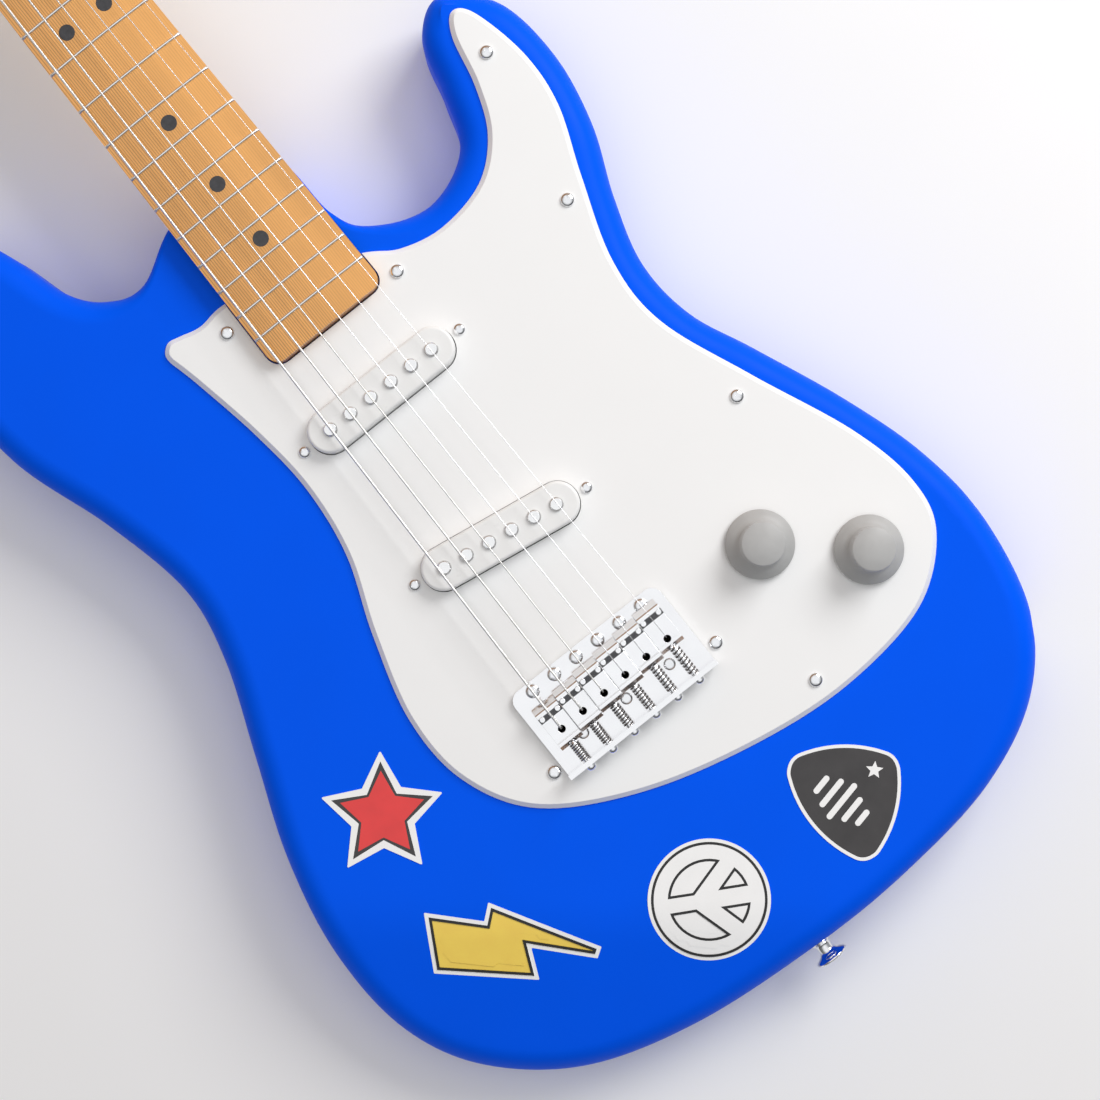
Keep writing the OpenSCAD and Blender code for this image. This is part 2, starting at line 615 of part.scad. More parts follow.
// A collar through the rim, a sprung contact behind it and a nut in front
module output_jack() color("#b8bbc0") jack_frame() {
    difference() {
        union() {
            translate([0, 0, -14]) cylinder(r = 4.7, h = 14.6);
            translate([0, 0, -14]) cylinder(r = 8.5, h = 2);
        }
        translate([0, 0, -20]) cylinder(r = plug_d / 2, h = 30);
    }
    translate([0, 0, 1.6 - jack_recess]) difference() {
        cylinder(r = 6.6, h = 1.6, $fn = 6);
        translate([0, 0, -1]) cylinder(r = 4.75, h = 5);
    }
    translate([-6, -2, -31]) cube([1, 4, 16.9]);
    translate([-6, -2, -32]) cube([2.6, 4, 1.05]);
}

module jack_plate() color("#c9c9cc") jack_frame() translate([0, 0, eps - jack_recess]) difference() {
    cylinder(r = 15.4, h = 1.5);
    translate([0, 0, -1]) cylinder(r = 4.9, h = 5);
}

// ---------------------------------------------------------------- vibrato bridge
module pivot_screws() color("#c9c9cc") for (i = [0:5]) translate([bridge_x(i), pivot_y, plate_top + 0.6])
    dome_screw(small_head_d / 2, 1.7, 1.6, 25);

module bridge_plate() color("#e2e2e6") difference() {
    union() {
        translate([0, 0, plate_z]) linear_extrude(plate_t) intersection() {
            translate([0, -9]) offset(r = 5) square([plate_w - 10, 28], center = true);
            translate([-50, plate_rear + 1]) square([100, 60]);
        }
        translate([-plate_w / 2, plate_rear, plate_z]) cube([plate_w, flange_t, 9.6]);
        translate([-plate_w / 2, plate_rear, plate_z]) cube([plate_w, 12, plate_t]);
    }
    translate([-50, plate_front, plate_z - 1.4]) rotate([45, 0, 0]) cube([100, 2, 2]);
    for (i = [0:5]) {
        translate([bridge_x(i), pivot_y, 40]) cylinder(r = 2.2, h = 20);
        translate([bridge_x(i), hole_y(i), 40]) cylinder(r = 2, h = 20);
        translate([bridge_x(i), plate_rear - 1, screw_axis_z]) rotate([-90, 0, 0]) cylinder(r = 1.5, h = 5);
    }
    pick(block_screw_points) translate([0, 0, 40]) cylinder(r = 1.75, h = 20);
}
block_screw_points = [for (x = [-2, 0, 2]) [x * bridge_pitch, block_screw_y, 0]];

module inertia_block() color("#9da0a6") difference() {
    union() {
        translate([-block_half, -20, block_bottom])
            cube([2 * block_half, 12.5, plate_z - block_bottom - 0.02]);
        translate([-block_half, -26, plate_z - 9]) cube([2 * block_half, 18.5, 8.98]);
    }
    for (i = [0:5]) translate([bridge_x(i), hole_y(i), 0]) {
        cylinder(r = 1.9, h = 60);
        cylinder(r = 2.8, h = 22);
    }
    pick([for (p = block_screw_points) [p.x, p.y, plate_z - 8.5]]) cylinder(r = 1.65, h = 20);
    for (x = spring_x) translate([x, -12.5, block_bottom + 2]) rotate([-90, 0, 0])
        cylinder(r = 1.1, h = 12);
}

module block_screws() color("#c9c9cc") pick([for (p = block_screw_points) [p.x, p.y, plate_top + 0.02]])
    dome_screw(2.5, 1.05, 1.6, 10.2, 0.7);

// Side view of a saddle from its crown at y 0: rear leg, flat top, crown ridge and front slope
function saddle_section(z) = let (f = z - flat_drop, leg = plate_top + 1.6) [
    [-17.3, leg], [-17.3, f - 2], [-15.7, f], [-14.2, f], [-14.2, f - 0.4], [-13.8, f - 0.4], [-13.8, f],
    [-3.8, f], [-1.7, z - 0.35], [-1.2, z - 0.08], [-0.4, z], [0.4, z - 0.08], [0.9, z - 0.35],
    [3.2, z - 3.8], [2.2, z - 4.4], [0.3, z - 1.6], [-1.5, z - 1.55], [-3.7, f - 1.2], [-15.3, f - 1.2],
    [-16.1, f - 2.2], [-16.1, leg]
];
grub_x = 3.9;
grub_y = -2.2;
module saddle(i) color("#e2e2e6") translate([bridge_x(i), crown_y(i), 0]) {
    difference() {
        translate([saddle_w / 2, 0, 0]) rotate([0, -90, 0]) linear_extrude(saddle_w)
            polygon([for (p = saddle_section(saddle_z(i))) [p.y, p.x]]);
        translate([0, hole_y(i) - crown_y(i), 50]) cylinder(r = 1.6, h = 10);
        translate([0, -18, screw_axis_z]) rotate([-90, 0, 0]) cylinder(r = 1.46, h = 3.6);
        for (s = [-1, 1]) translate([grub_x * s, grub_y, plate_top]) cylinder(r = 1.15, h = 12);
    }
    for (s = [-1, 1]) translate([grub_x * s, grub_y, plate_top + 0.06])
        cylinder(r = 1.1, h = saddle_z(i) - plate_top + 0.1);
}
module saddle_1() saddle(0);
module saddle_2() saddle(1);
module saddle_3() saddle(2);
module saddle_4() saddle(3);
module saddle_5() saddle(4);
module saddle_6() saddle(5);

module intonation_screws() color("#c9c9cc") for (i = [0:5])
    translate([bridge_x(i), plate_rear - 0.05, screw_axis_z]) rotate([-90, 0, 0]) mirror([0, 0, 1])
        dome_screw(2.3, 2.6, 1.4, crown_y(i) - 15.9 - plate_rear, 0.7);

module intonation_springs() color("#6f6a68") for (i = [0:5])
    translate([bridge_x(i), 0, screw_axis_z])
        wire(helix_y(1.9, plate_rear + flange_t + 0.35, crown_y(i) - 17.7, 6), 0.3);

spring_x = [-22.5, 0, 22.5];
module spring_claw() color("#b8bbc0") difference() {
    union() {
        translate([-30, 103, 4]) cube([60, 1.8, 12]);
        for (x = spring_x) translate([x - 2, 96.5, 4]) cube([4, 7, 1.5]);
        for (x = spring_x) translate([x - 2, 96.5, 4]) cube([4, 1.5, 4.5]);
    }
    for (s = [-1, 1]) translate([s * claw_screw_x, 100, 9.5]) rotate([-90, 0, 0])
        cylinder(r = 2.3, h = 10);
}

module claw_screws() color("#b8bbc0") for (s = [-1, 1])
    translate([s * claw_screw_x, 102.95, 9.5]) rotate([90, 0, 0]) dome_screw(4, 2.4, 2.1, 40, 1.2);

module trem_springs() color("#b8bbc0") for (x = spring_x) translate([x, 0, 10])
    wire(concat(
        [[0.3, -8.5, 0], [0.3, -5, 0.02]], helix_y(3.4, 0, 82, 14, 8), [[1.2, 90, -2], [0, 94.9, -2.6]]
    ), 0.5, [0.05, 0.1, 1]);

// ---------------------------------------------------------------- strings
// Ball end in the block, up through the saddle, over its crown and the nut, to the post
post_string_z = head_top + 6;
module string_line(i) {
    r = string_r[i];
    x = bridge_x(i);
    low = [x, hole_y(i), 20.5];
    bend = [x, hole_y(i) + 0.6, saddle_z(i) - flat_drop + r + 0.35];
    crown = [x, crown_y(i) - 0.4, saddle_z(i) + r + 0.04];
    nut_pt = [nut_x(i), nut_y + 1.7, nut_string_z(i)];
    tree = [nut_x(i), 712, 50.6];
    last = [nut_x(i) + 0.1 - r * 0.15, post_pos(i).y, post_string_z];
    rod(low, bend, r);
    rod(bend, crown, r);
    rod(crown, nut_pt, r);
    if (i > 3) {
        rod(nut_pt, tree, r);
        rod(tree, last, r);
        translate(tree) sphere(r = r * 1.02, $fn = 24);
    } else rod(nut_pt, last, r);
    pick([bend, crown, nut_pt]) sphere(r = r * 1.02, $fn = 24);
    translate([x, hole_y(i), 18.2]) cylinder(r = 1.8, h = 3);
    translate([post_pos(i).x, post_pos(i).y, post_string_z - 1.1 - r]) difference() {
        cylinder(r = 3.2 + 2 * r, h = 2.2 + 2 * r);
        translate([0, 0, -1]) cylinder(r = 3.2, h = 9);
    }
}
module strings() color("#dcdce0") for (i = [0:5]) string_line(i);

// ---------------------------------------------------------------- tuners
// In a tuner's frame X points out to the button, Y to the nut and the post stands on Z
module tuner_frame(i) translate(post_pos(i)) rotate(180 - tuner_turn) children();
tuner_screw_at = [[-6.4, 10.4], [7.1, -6]];
module tuner_screw_holes(r, depth) for (i = [0:5]) tuner_frame(i) for (p = tuner_screw_at)
    translate([p.x, p.y, head_top - head_t - 1]) cylinder(r = r, h = depth + 1, $fn = 24);

case_top = head_top - head_t - 0.04;
case_bottom = worm_z - 4.6;
module tuner_housings() color("#c9c9cc") for (i = [0:5]) tuner_frame(i) difference() {
    translate([-8.6, -8.2, case_bottom]) cube([17.8, 20.8, case_top - case_bottom]);
    translate([-7.2, -6.8, case_bottom + 1.2]) cube([14.9, 18.2, case_top - case_bottom - 2.4]);
    cylinder(r = 3.08, h = 40);
    translate([-12, worm_offset, worm_z]) rotate([0, 90, 0]) cylinder(r = 1.78, h = 30);
    for (p = tuner_screw_at) translate([p.x, p.y, case_top - 2.4]) cylinder(r = 1.2, h = 5);
    for (p = tuner_screw_at) translate([p.x, p.y, case_bottom - 1])
        cylinder(r = 1.7, h = case_top - case_bottom - 0.2);
}

module tuner_screws() color("#c9c9cc") for (i = [0:5]) tuner_frame(i) for (p = tuner_screw_at)
    translate([p.x, p.y, case_top - 1.24]) mirror([0, 0, 1]) dome_screw(1.6, 1.1, 1.05, 8.6, 0.5);

module tuner_bushings() color("#d4d4d8") for (i = [0:5]) translate(post_pos(i)) difference() {
    union() {
        translate([0, 0, head_top - 10]) cylinder(r = 5, h = 10.1);
        translate([0, 0, head_top + 0.03]) cylinder(r = 6.2, h = 1.6);
    }
    cylinder(r = 3.08, h = 80);
}

gear_plan = [
    for (k = [0:gear_teeth - 1], p = [[-8.1, 4.6], [-2.5, 6.2], [2.5, 6.2], [8.1, 4.6]])
        let (a = 90 + 360 * (k + 0.5) / gear_teeth + p.x) p.y * [cos(a), sin(a)]
];
module tuner_post(i) color("#d4d4d8") tuner_frame(i) difference() {
    union() {
        rotate_extrude() polygon([[0, case_bottom + 1.6], [post_r, case_bottom + 1.6],
            [post_r, head_top + 3.2], [2.6, head_top + 4], [2.6, head_top + 8.4], [post_r, head_top + 9.2],
            [post_r, head_top + 14.4], [2.6, head_top + 14.8], [0, head_top + 14.8]]);
        translate([0, 0, worm_z - 1.1]) linear_extrude(2.2) polygon(gear_plan);
    }
    translate([-5, 0, head_top + 11.5]) rotate([0, 90, 0]) cylinder(r = 0.8, h = 10);
}

// The worm's thread: a trapezium swept round the shaft, clear of the wheel's teeth
thread_step = 20;
thread_turn = 500;
function thread_ring(a) = [for (s = [[-0.62, 1.6], [0.62, 1.6], [0.24, 3.2], [-0.24, 3.2]])
    [worm_lead * a / 360 + s.x, -s.y * cos(a), -s.y * sin(a)]];
module worm_thread() {
    angles = [for (a = [-thread_turn:thread_step:thread_turn]) a];
    n = len(angles);
    polyhedron(
        points = [for (a = angles) each thread_ring(a)],
        faces = concat(
            [[0, 1, 2, 3]],
            [for (k = [0:n - 2], j = [0:3]) let (m = (j + 1) % 4)
                [4 * k + j, 4 * k + 4 + j, 4 * k + 4 + m, 4 * k + m]],
            [[4 * n - 1, 4 * n - 2, 4 * n - 3, 4 * n - 4]]
        )
    );
}
module tuner_button(i) color("#d8d8dc") tuner_frame(i) translate([0, worm_offset, worm_z]) {
    worm_thread();
    translate([-8.4, 0, 0]) rotate([0, 90, 0]) cylinder(r = 1.7, h = 27);
    translate([9.5, 0, 0]) rotate([0, 90, 0]) cylinder(r = 3, h = 8);
    translate([17, 0, 0]) rotate([0, 90, 0]) rotate_extrude()
        polygon([[0, 0], [2.6, 0], [3.4, 2], [3.4, 3], [0, 3]]);
    translate([27, 0, 0]) intersection() {
        translate([0, 0, -3]) linear_extrude(6) rounded([15.5, 18.5], 6.5);
        rotate([90, 0, 0]) cylinder(r = 8.4, h = 30, center = true);
    }
}

module tuner_post_1() tuner_post(0);
module tuner_post_2() tuner_post(1);
module tuner_post_3() tuner_post(2);
module tuner_post_4() tuner_post(3);
module tuner_post_5() tuner_post(4);
module tuner_post_6() tuner_post(5);
module tuner_button_1() tuner_button(0);
module tuner_button_2() tuner_button(1);
module tuner_button_3() tuner_button(2);
module tuner_button_4() tuner_button(3);
module tuner_button_5() tuner_button(4);
module tuner_button_6() tuner_button(5);

// ---------------------------------------------------------------- stickers
// Each sticker is a thin layer that follows the top of the body and its forearm contour
sticker_low = 0.04;
sticker_t = 0.3;
module top_layer() across_contour(700) polygon(concat(
    [[-160, sticker_low]],
    [for (p = contour_curve) p + [0, sticker_low]],
    [for (k = [len(contour_curve) - 1:-1:0]) contour_curve[k] + [0, sticker_low + sticker_t]],
    [[-160, sticker_low + sticker_t]]
));
star_pos = [-108.3, 4.6];
star_r = 25;
star_plan = [for (k = [0:9]) let (a = -90 + 36 * k) star_r * (k % 2 == 0 ? 1 : 0.52) * [cos(a), sin(a)]];
bolt_points = [
    [-120, -39], [-103, -57], [-97, -52], [-73, -94], [-76, -96], [-95, -75], [-101, -88], [-132, -60]
];
module pick_plan() intersection_for (p = [[27, -86], [27, -131], [78, -108]]) translate([p.x, p.y])
    circle(r = 51, $fn = 96);

module stickers() color("#f0f0f0") for (k = [0:3]) intersection() {
    top_layer();
    translate([0, 0, 10]) linear_extrude(50) {
        if (k == 0) translate(star_pos) offset(r = 2) polygon(star_plan);
        if (k == 1) offset(r = 1) polygon(bolt_points);
        if (k == 2) translate([-25, -106.5]) circle(r = 25.4, $fn = 72);
        if (k == 3) pick_plan();
    }
}

body();
pickguard();
pickguard_screws();
neck();
fingerboard();
frets();
fret_markers();
nut();
string_tree();
truss_rod();
neck_plate();
neck_bolts();
strap_buttons();
back_cover();
back_cover_screws();
pickup_covers();
pickup_coils();
pole_pieces();
pickup_screws();
pickup_springs();
pot_housings();
wiring_loom();
output_jack();
jack_plate();
volume_knob();
tone_knob();
volume_pot_shaft();
tone_pot_shaft();
pivot_screws();
bridge_plate();
inertia_block();
block_screws();
saddle_1();
saddle_2();
saddle_3();
saddle_4();
saddle_5();
saddle_6();
intonation_screws();
intonation_springs();
spring_claw();
claw_screws();
trem_springs();
strings();
tuner_housings();
tuner_bushings();
tuner_screws();
tuner_post_1();
tuner_post_2();
tuner_post_3();
tuner_post_4();
tuner_post_5();
tuner_post_6();
tuner_button_1();
tuner_button_2();
tuner_button_3();
tuner_button_4();
tuner_button_5();
tuner_button_6();
stickers();
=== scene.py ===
import math

import bpy
import numpy as np
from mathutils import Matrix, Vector
from mathutils.geometry import delaunay_2d_cdt


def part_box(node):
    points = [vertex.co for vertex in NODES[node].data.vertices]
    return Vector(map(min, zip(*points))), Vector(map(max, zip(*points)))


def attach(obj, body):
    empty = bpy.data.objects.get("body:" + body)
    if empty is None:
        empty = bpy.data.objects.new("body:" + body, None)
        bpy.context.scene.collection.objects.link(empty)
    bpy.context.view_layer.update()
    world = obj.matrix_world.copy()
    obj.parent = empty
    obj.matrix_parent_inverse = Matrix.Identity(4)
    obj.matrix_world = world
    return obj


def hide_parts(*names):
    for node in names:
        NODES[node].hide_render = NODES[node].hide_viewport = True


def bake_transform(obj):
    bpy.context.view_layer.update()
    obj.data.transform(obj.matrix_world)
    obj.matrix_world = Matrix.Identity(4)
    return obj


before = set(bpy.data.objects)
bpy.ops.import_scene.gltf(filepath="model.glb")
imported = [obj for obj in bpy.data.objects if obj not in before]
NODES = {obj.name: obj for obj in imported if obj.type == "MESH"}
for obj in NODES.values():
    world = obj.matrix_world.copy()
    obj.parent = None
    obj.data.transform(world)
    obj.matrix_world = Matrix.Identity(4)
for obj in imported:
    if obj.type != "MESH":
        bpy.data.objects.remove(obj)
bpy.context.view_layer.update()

# The electric guitar lies on its back: +Z is out of the front, +Y towards the headstock, +X the treble
# side. Shapes are worked out in millimetres in that frame, and become metres in new_piece().
MM = 0.001


def node_box(name):
    """Lowest and highest corner of a CAD node, in millimetres."""
    low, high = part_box(name)
    return np.array(low) / MM, np.array(high) / MM


BODY_TOP = 45.0
GUARD_TOP = node_box("pickguard")[1][2]
BOARD_TOP = node_box("fret_markers")[1][2]
BOARD_Z = node_box("fingerboard")[0][2]
COVER_TOP = node_box("pickup_covers")[1][2]
NUT_Y = node_box("nut")[0][1]
HEEL_Y = node_box("fingerboard")[0][1]
BOARD_R = 241.0
HEEL_HALF = 28.2
NUT_HALF = 21.3
BRIDGE_PITCH = 11.28
NUT_PITCH = 7.0
STRING_R = [0.58, 0.46, 0.33, 0.22, 0.17, 0.13]
POLE_PITCH = 10.5
PICKUPS = [((0, 141), 0), ((1, 64), -8.9)]
KNOBS = [(82, -4.7), (115.6, -34.1)]
HEEL_CORNER = 6.0
FRET_COUNT = 21
FRET_12_Y = 324.7
UPPER_SCALE = 673.0  # scale length that the frets past the octave follow
STICKER_LOW, STICKER_TOP = 0.05, 0.32  # above the front of the body
JACK = (150.8, -102.6, -31)  # place on the lower edge, and the way it faces in degrees
POCKET_Z, ROUT_Z, CONTROL_Z = 29.0, 26.0, 9.0  # floors of the hollows cut from the front
SPRING_Z, BLOCK_Z, RECESS_Z = 18.0, 24.0, 1.8  # roofs of the hollows cut from the back
OPEN_Z = 60.0  # clear of the front, for the tops of cutters
PICK_R, PICK_CORNER = 51.0, 8.0


# ---------------------------------------------------------------- camera, light and room
def add_camera():
    data = bpy.data.cameras.new("camera")
    data.sensor_width = 36
    data.lens = 72
    data.shift_y = 0.0227
    camera = bpy.data.objects.new("camera", data)
    camera.location = Vector((6.95, 38.97, 950)) * MM
    camera.rotation_euler = (0, 0, math.radians(-38.48))
    bpy.context.scene.collection.objects.link(camera)
    bpy.context.scene.camera = camera


def add_light(name, place, size, power):
    data = bpy.data.lights.new(name, "AREA")
    data.shape = "RECTANGLE"
    data.size, data.size_y = size
    data.energy = power
    light = bpy.data.objects.new(name, data)
    light.location = place
    aim = Vector((0.0, 0.1, 0.03))
    light.rotation_euler = (aim - Vector(place)).to_track_quat("-Z", "Y").to_euler()
    bpy.context.scene.collection.objects.link(light)


def set_inputs(tree, node, inputs):
    """Gives each named input a value, or a link when the value is another node's output."""
    for key, value in inputs.items():
        if isinstance(value, bpy.types.NodeSocket):
            tree.links.new(value, node.inputs[key])
        else:
            node.inputs[key].default_value = value


def add_node(tree, kind, inputs, **settings):
    node = tree.nodes.new("ShaderNode" + kind)
    for key, value in settings.items():
        setattr(node, key, value)
    set_inputs(tree, node, inputs)
    return node


def colour_ramp(tree, value, stops):
    node = add_node(tree, "ValToRGB", {0: value})
    elements = node.color_ramp.elements
    while len(elements) < len(stops):
        elements.new(0.5)
    for element, (place, colour) in zip(elements, stops):
        element.position = place
        element.color = (*colour, 1)
    return node.outputs["Color"]


def mix(tree, kind, factor, a, b):
    return add_node(tree, "Mix", {0: factor, 6: a, 7: b}, data_type="RGBA", blend_type=kind).outputs[2]


def add_world():
    """A pale room, bright overhead and on the treble side, warm past the head and dim past the tail."""
    world = bpy.data.worlds.new("room")
    bpy.context.scene.world = world
    world.use_nodes = True
    tree = world.node_tree
    tree.nodes.clear()
    coords = add_node(tree, "TexCoord", {}).outputs["Generated"]
    split = add_node(tree, "SeparateXYZ", {0: coords}).outputs

    def ramp(value, low, high, stops):
        fit = add_node(tree, "MapRange", {"Value": value, "From Min": low, "From Max": high})
        return colour_ramp(tree, fit.outputs[0], stops)

    round_y = ramp(split["Y"], -1, 1, [
        (0.0, (0.16, 0.16, 0.17)), (0.45, (0.62, 0.64, 0.66)), (0.62, (0.72, 0.70, 0.68)),
        (1.0, (0.75, 0.38, 0.16))])
    round_x = ramp(split["X"], -1, 1, [(0.0, (0.55,) * 3), (0.5, (0.8,) * 3), (1.0, (1.2,) * 3)])
    overhead = ramp(split["Z"], 0.6, 0.93, [(0.0, (0,) * 3), (1.0, (1,) * 3)])
    sky = mix(tree, "MULTIPLY", 1.0, round_y, round_x)
    sky = mix(tree, "MIX", overhead, sky, (1.75, 1.77, 1.8, 1))
    lit = add_node(tree, "Background", {"Color": sky, "Strength": 0.55}).outputs[0]
    seen = add_node(tree, "Background", {"Color": (0.9, 0.91, 0.92, 1)}).outputs[0]
    to_camera = add_node(tree, "LightPath", {}).outputs["Is Camera Ray"]
    choice = add_node(tree, "MixShader", {0: to_camera, 1: lit, 2: seen}).outputs[0]
    add_node(tree, "OutputWorld", {"Surface": choice})


# ---------------------------------------------------------------- materials
def surface(
    name, colour, roughness, metallic=0.0, spread=0.05, scale=60.0, stretch=(1, 1, 1), rough_spread=0.1,
    bump=0.0, bump_scale=800.0, bump_stretch=(1, 1, 1), coat=0.0, coat_roughness=0.04, specular=0.5,
):
    """A procedural material: noise varies its colour and its roughness, and a finer noise its height."""
    material = bpy.data.materials.new(name)
    material.use_nodes = True
    tree = material.node_tree
    coords = add_node(tree, "TexCoord", {}).outputs["Object"]

    def noise(size, along):
        mapped = add_node(tree, "Mapping", {"Vector": coords, "Scale": along}).outputs[0]
        return add_node(tree, "TexNoise", {"Vector": mapped, "Scale": size, "Detail": 6.0}).outputs["Fac"]

    stops = [
        (place, [min(1, c * tone) for c in colour]) for place, tone in ((0.3, 1 - spread), (0.7, 1 + spread))]
    rough = add_node(tree, "MapRange", {
        "Value": noise(scale * 4, stretch), "From Min": 0.3, "From Max": 0.7,
        "To Min": roughness * (1 - rough_spread), "To Max": roughness * (1 + rough_spread)}).outputs[0]
    inputs = {
        "Base Color": colour_ramp(tree, noise(scale, stretch), stops), "Roughness": rough,
        "Metallic": metallic, "Coat Weight": coat, "Coat Roughness": coat_roughness,
        "Specular IOR Level": specular}
    if bump:
        height = noise(bump_scale, bump_stretch)
        inputs["Normal"] = add_node(
            tree, "Bump", {"Strength": bump, "Distance": 0.0002, "Height": height}).outputs[0]
    set_inputs(tree, tree.nodes["Principled BSDF"], inputs)
    return material


def board_wood():
    """Orange lacquered maple: fine lengthwise grain, dense on the bass half, over broad soft figure."""
    material = surface(
        "fingerboard_maple", (0.86, 0.43, 0.125), 0.32, spread=0.16, scale=14, stretch=(3, 0.5, 3),
        coat=0.35, coat_roughness=0.12, bump=0.15, bump_scale=900, bump_stretch=(1, 0.03, 1), specular=0.35,
    )
    tree = material.node_tree
    principled = tree.nodes["Principled BSDF"]
    coords = add_node(tree, "TexCoord", {}).outputs["Object"]
    mapped = add_node(tree, "Mapping", {"Vector": coords, "Scale": (1, 0.022, 1)}).outputs[0]
    grain = add_node(tree, "TexWave", {
        "Vector": mapped, "Scale": 300, "Distortion": 2.4, "Detail": 3, "Detail Scale": 0.9},
        bands_direction="X").outputs["Fac"]
    streak = add_node(tree, "MapRange", {"Value": grain, "From Min": 0.55, "From Max": 1.0}).outputs[0]
    across = add_node(tree, "SeparateXYZ", {0: coords}).outputs["X"]
    bass = add_node(tree, "MapRange", {
        "Value": across, "From Min": 0.012, "From Max": -0.008, "To Min": 0.16, "To Max": 0.55}).outputs[0]
    amount = add_node(tree, "Math", {0: streak, 1: bass}, operation="MULTIPLY").outputs[0]
    before = principled.inputs["Base Color"].links[0].from_socket
    set_inputs(tree, principled, {"Base Color": mix(tree, "MIX", amount, before, (0.20, 0.085, 0.03, 1))})
    return material


M = {
    "lacquer": surface("body_lacquer", (0.0, 0.105, 0.95), 0.4, spread=0.02, scale=20, bump=0.05,
                       bump_scale=900, specular=0.04),
    "bare_wood": surface("bare_wood", (0.52, 0.33, 0.16), 0.6, spread=0.2, scale=30, stretch=(4, 0.3, 4),
                         bump=0.3, bump_scale=600, bump_stretch=(1, 0.05, 1)),
    "guard": surface("white_plastic", (0.94, 0.94, 0.935), 0.3, spread=0.004, scale=35, rough_spread=0.03,
                     bump=0.02, bump_scale=700, specular=0.4),
    "cover": surface("cover_plastic", (0.9, 0.9, 0.89), 0.3, spread=0.015, scale=90, bump=0.06,
                     bump_scale=700, specular=0.4),
    "maple": surface("maple", (0.74, 0.44, 0.17), 0.3, spread=0.1, scale=26, stretch=(3, 0.25, 3), coat=0.5,
                     coat_roughness=0.08, bump=0.08, bump_scale=700, bump_stretch=(1, 0.04, 1), specular=0.4),
    "board": board_wood(),
    "fret": surface("fret_wire", (0.96, 0.955, 0.94), 0.34, 1.0, 0.05, 220, bump=0.1, bump_scale=2500),
    "dot": surface("dot_plastic", (0.045, 0.045, 0.05), 0.4, spread=0.25, scale=500, bump=0.1,
                   bump_scale=1500),
    "bone": surface("bone", (0.86, 0.82, 0.72), 0.4, spread=0.05, scale=300, bump=0.1, bump_scale=900),
    "chrome": surface("chrome", (0.88, 0.885, 0.9), 0.09, 1.0, 0.03, 140, rough_spread=0.35, bump=0.05,
                      bump_scale=1800),
    "plate": surface("plate_chrome", (0.93, 0.93, 0.94), 0.16, 1.0, 0.02, 90, rough_spread=0.3, bump=0.08,
                     bump_scale=900, bump_stretch=(0.1, 1, 1)),
    "steel": surface("steel", (0.62, 0.62, 0.63), 0.28, 1.0, 0.08, 200, bump=0.15, bump_scale=1600),
    "cast": surface("cast_block", (0.42, 0.425, 0.44), 0.5, 1.0, 0.12, 300, bump=0.5, bump_scale=1400),
    "spring": surface("spring_steel", (0.22, 0.205, 0.2), 0.4, 1.0, 0.15, 500, bump=0.2, bump_scale=2500),
    "string": surface("string_steel", (0.86, 0.86, 0.87), 0.22, 1.0, 0.04, 400, bump=0.1, bump_scale=3000),
    "wound": surface("wound_string", (0.78, 0.77, 0.75), 0.3, 1.0, 0.08, 400, bump=0.9, bump_scale=2600,
                     bump_stretch=(0.02, 1, 0.02)),
    "coil": surface("coil_black", (0.03, 0.03, 0.033), 0.5, spread=0.3, scale=400, bump=0.2, bump_scale=1200),
    "pole": surface("magnet_face", (0.9, 0.9, 0.9), 0.2, 1.0, 0.03, 300, bump=0.1, bump_scale=1500),
    "wire": surface("wire_black", (0.03, 0.03, 0.03), 0.5, spread=0.3, scale=400, bump=0.2, bump_scale=1200),
    "brass": surface("brass", (0.72, 0.52, 0.22), 0.3, 1.0, 0.08, 200, bump=0.15, bump_scale=1500),
    "knob": surface("knob_grey", (0.46, 0.46, 0.455), 0.42, spread=0.04, scale=160, bump=0.16,
                    bump_scale=1500),
    **{name: surface(name, colour, roughness, spread=spread, scale=120, bump=0.08, bump_scale=500)
       for name, colour, roughness, spread in (
           ("vinyl_white", (0.97, 0.97, 0.965), 0.35, 0.015),
           ("vinyl_dark", (0.045, 0.042, 0.043), 0.38, 0.15),
           ("vinyl_black", (0.012, 0.012, 0.012), 0.38, 0.2),
           ("vinyl_red", (0.82, 0.05, 0.05), 0.36, 0.05),
           ("vinyl_yellow", (1.0, 0.7, 0.11), 0.36, 0.04))},
    "floor": surface("floor", (0.93, 0.93, 0.93), 0.7, spread=0.01, scale=6, bump=0.02, bump_scale=300),
}


# ---------------------------------------------------------------- mesh helpers
def unit(v):
    v = np.asarray(v, float)
    return v / np.linalg.norm(v)


def heading(angle):
    """The direction, or directions, at an angle in radians from +X."""
    return np.stack([np.cos(angle), np.sin(angle)], -1)


def area(loop):
    """The loop's area, positive when it runs anticlockwise."""
    x, y = loop.T
    return np.sum(x * np.roll(y, -1) - y * np.roll(x, -1)) / 2


def new_piece(name, points, faces, materials, face_material=None, sharp=35):
    """A mesh piece from points in millimetres, smooth but for edges sharper than an angle in degrees."""
    mesh = bpy.data.meshes.new(name)
    mesh.from_pydata([tuple(p) for p in np.asarray(points, float) * MM], [], faces)
    for material in materials:
        mesh.materials.append(material)
    if face_material is not None:
        mesh.polygons.foreach_set("material_index", face_material)
    mesh.validate()
    piece = bpy.data.objects.new(name, mesh)
    bpy.context.scene.collection.objects.link(piece)
    shade(piece, sharp)
    return piece


def shade(piece, sharp=35):
    mesh = piece.data
    mesh.polygons.foreach_set("use_smooth", [True] * len(mesh.polygons))
    mesh.set_sharp_from_angle(angle=math.radians(sharp))
    mesh.update()


def finish_piece(piece, body, replaced):
    """Attaches the piece to the body it rides on, and hides the CAD node that it replaces."""
    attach(piece, body)
    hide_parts(replaced)


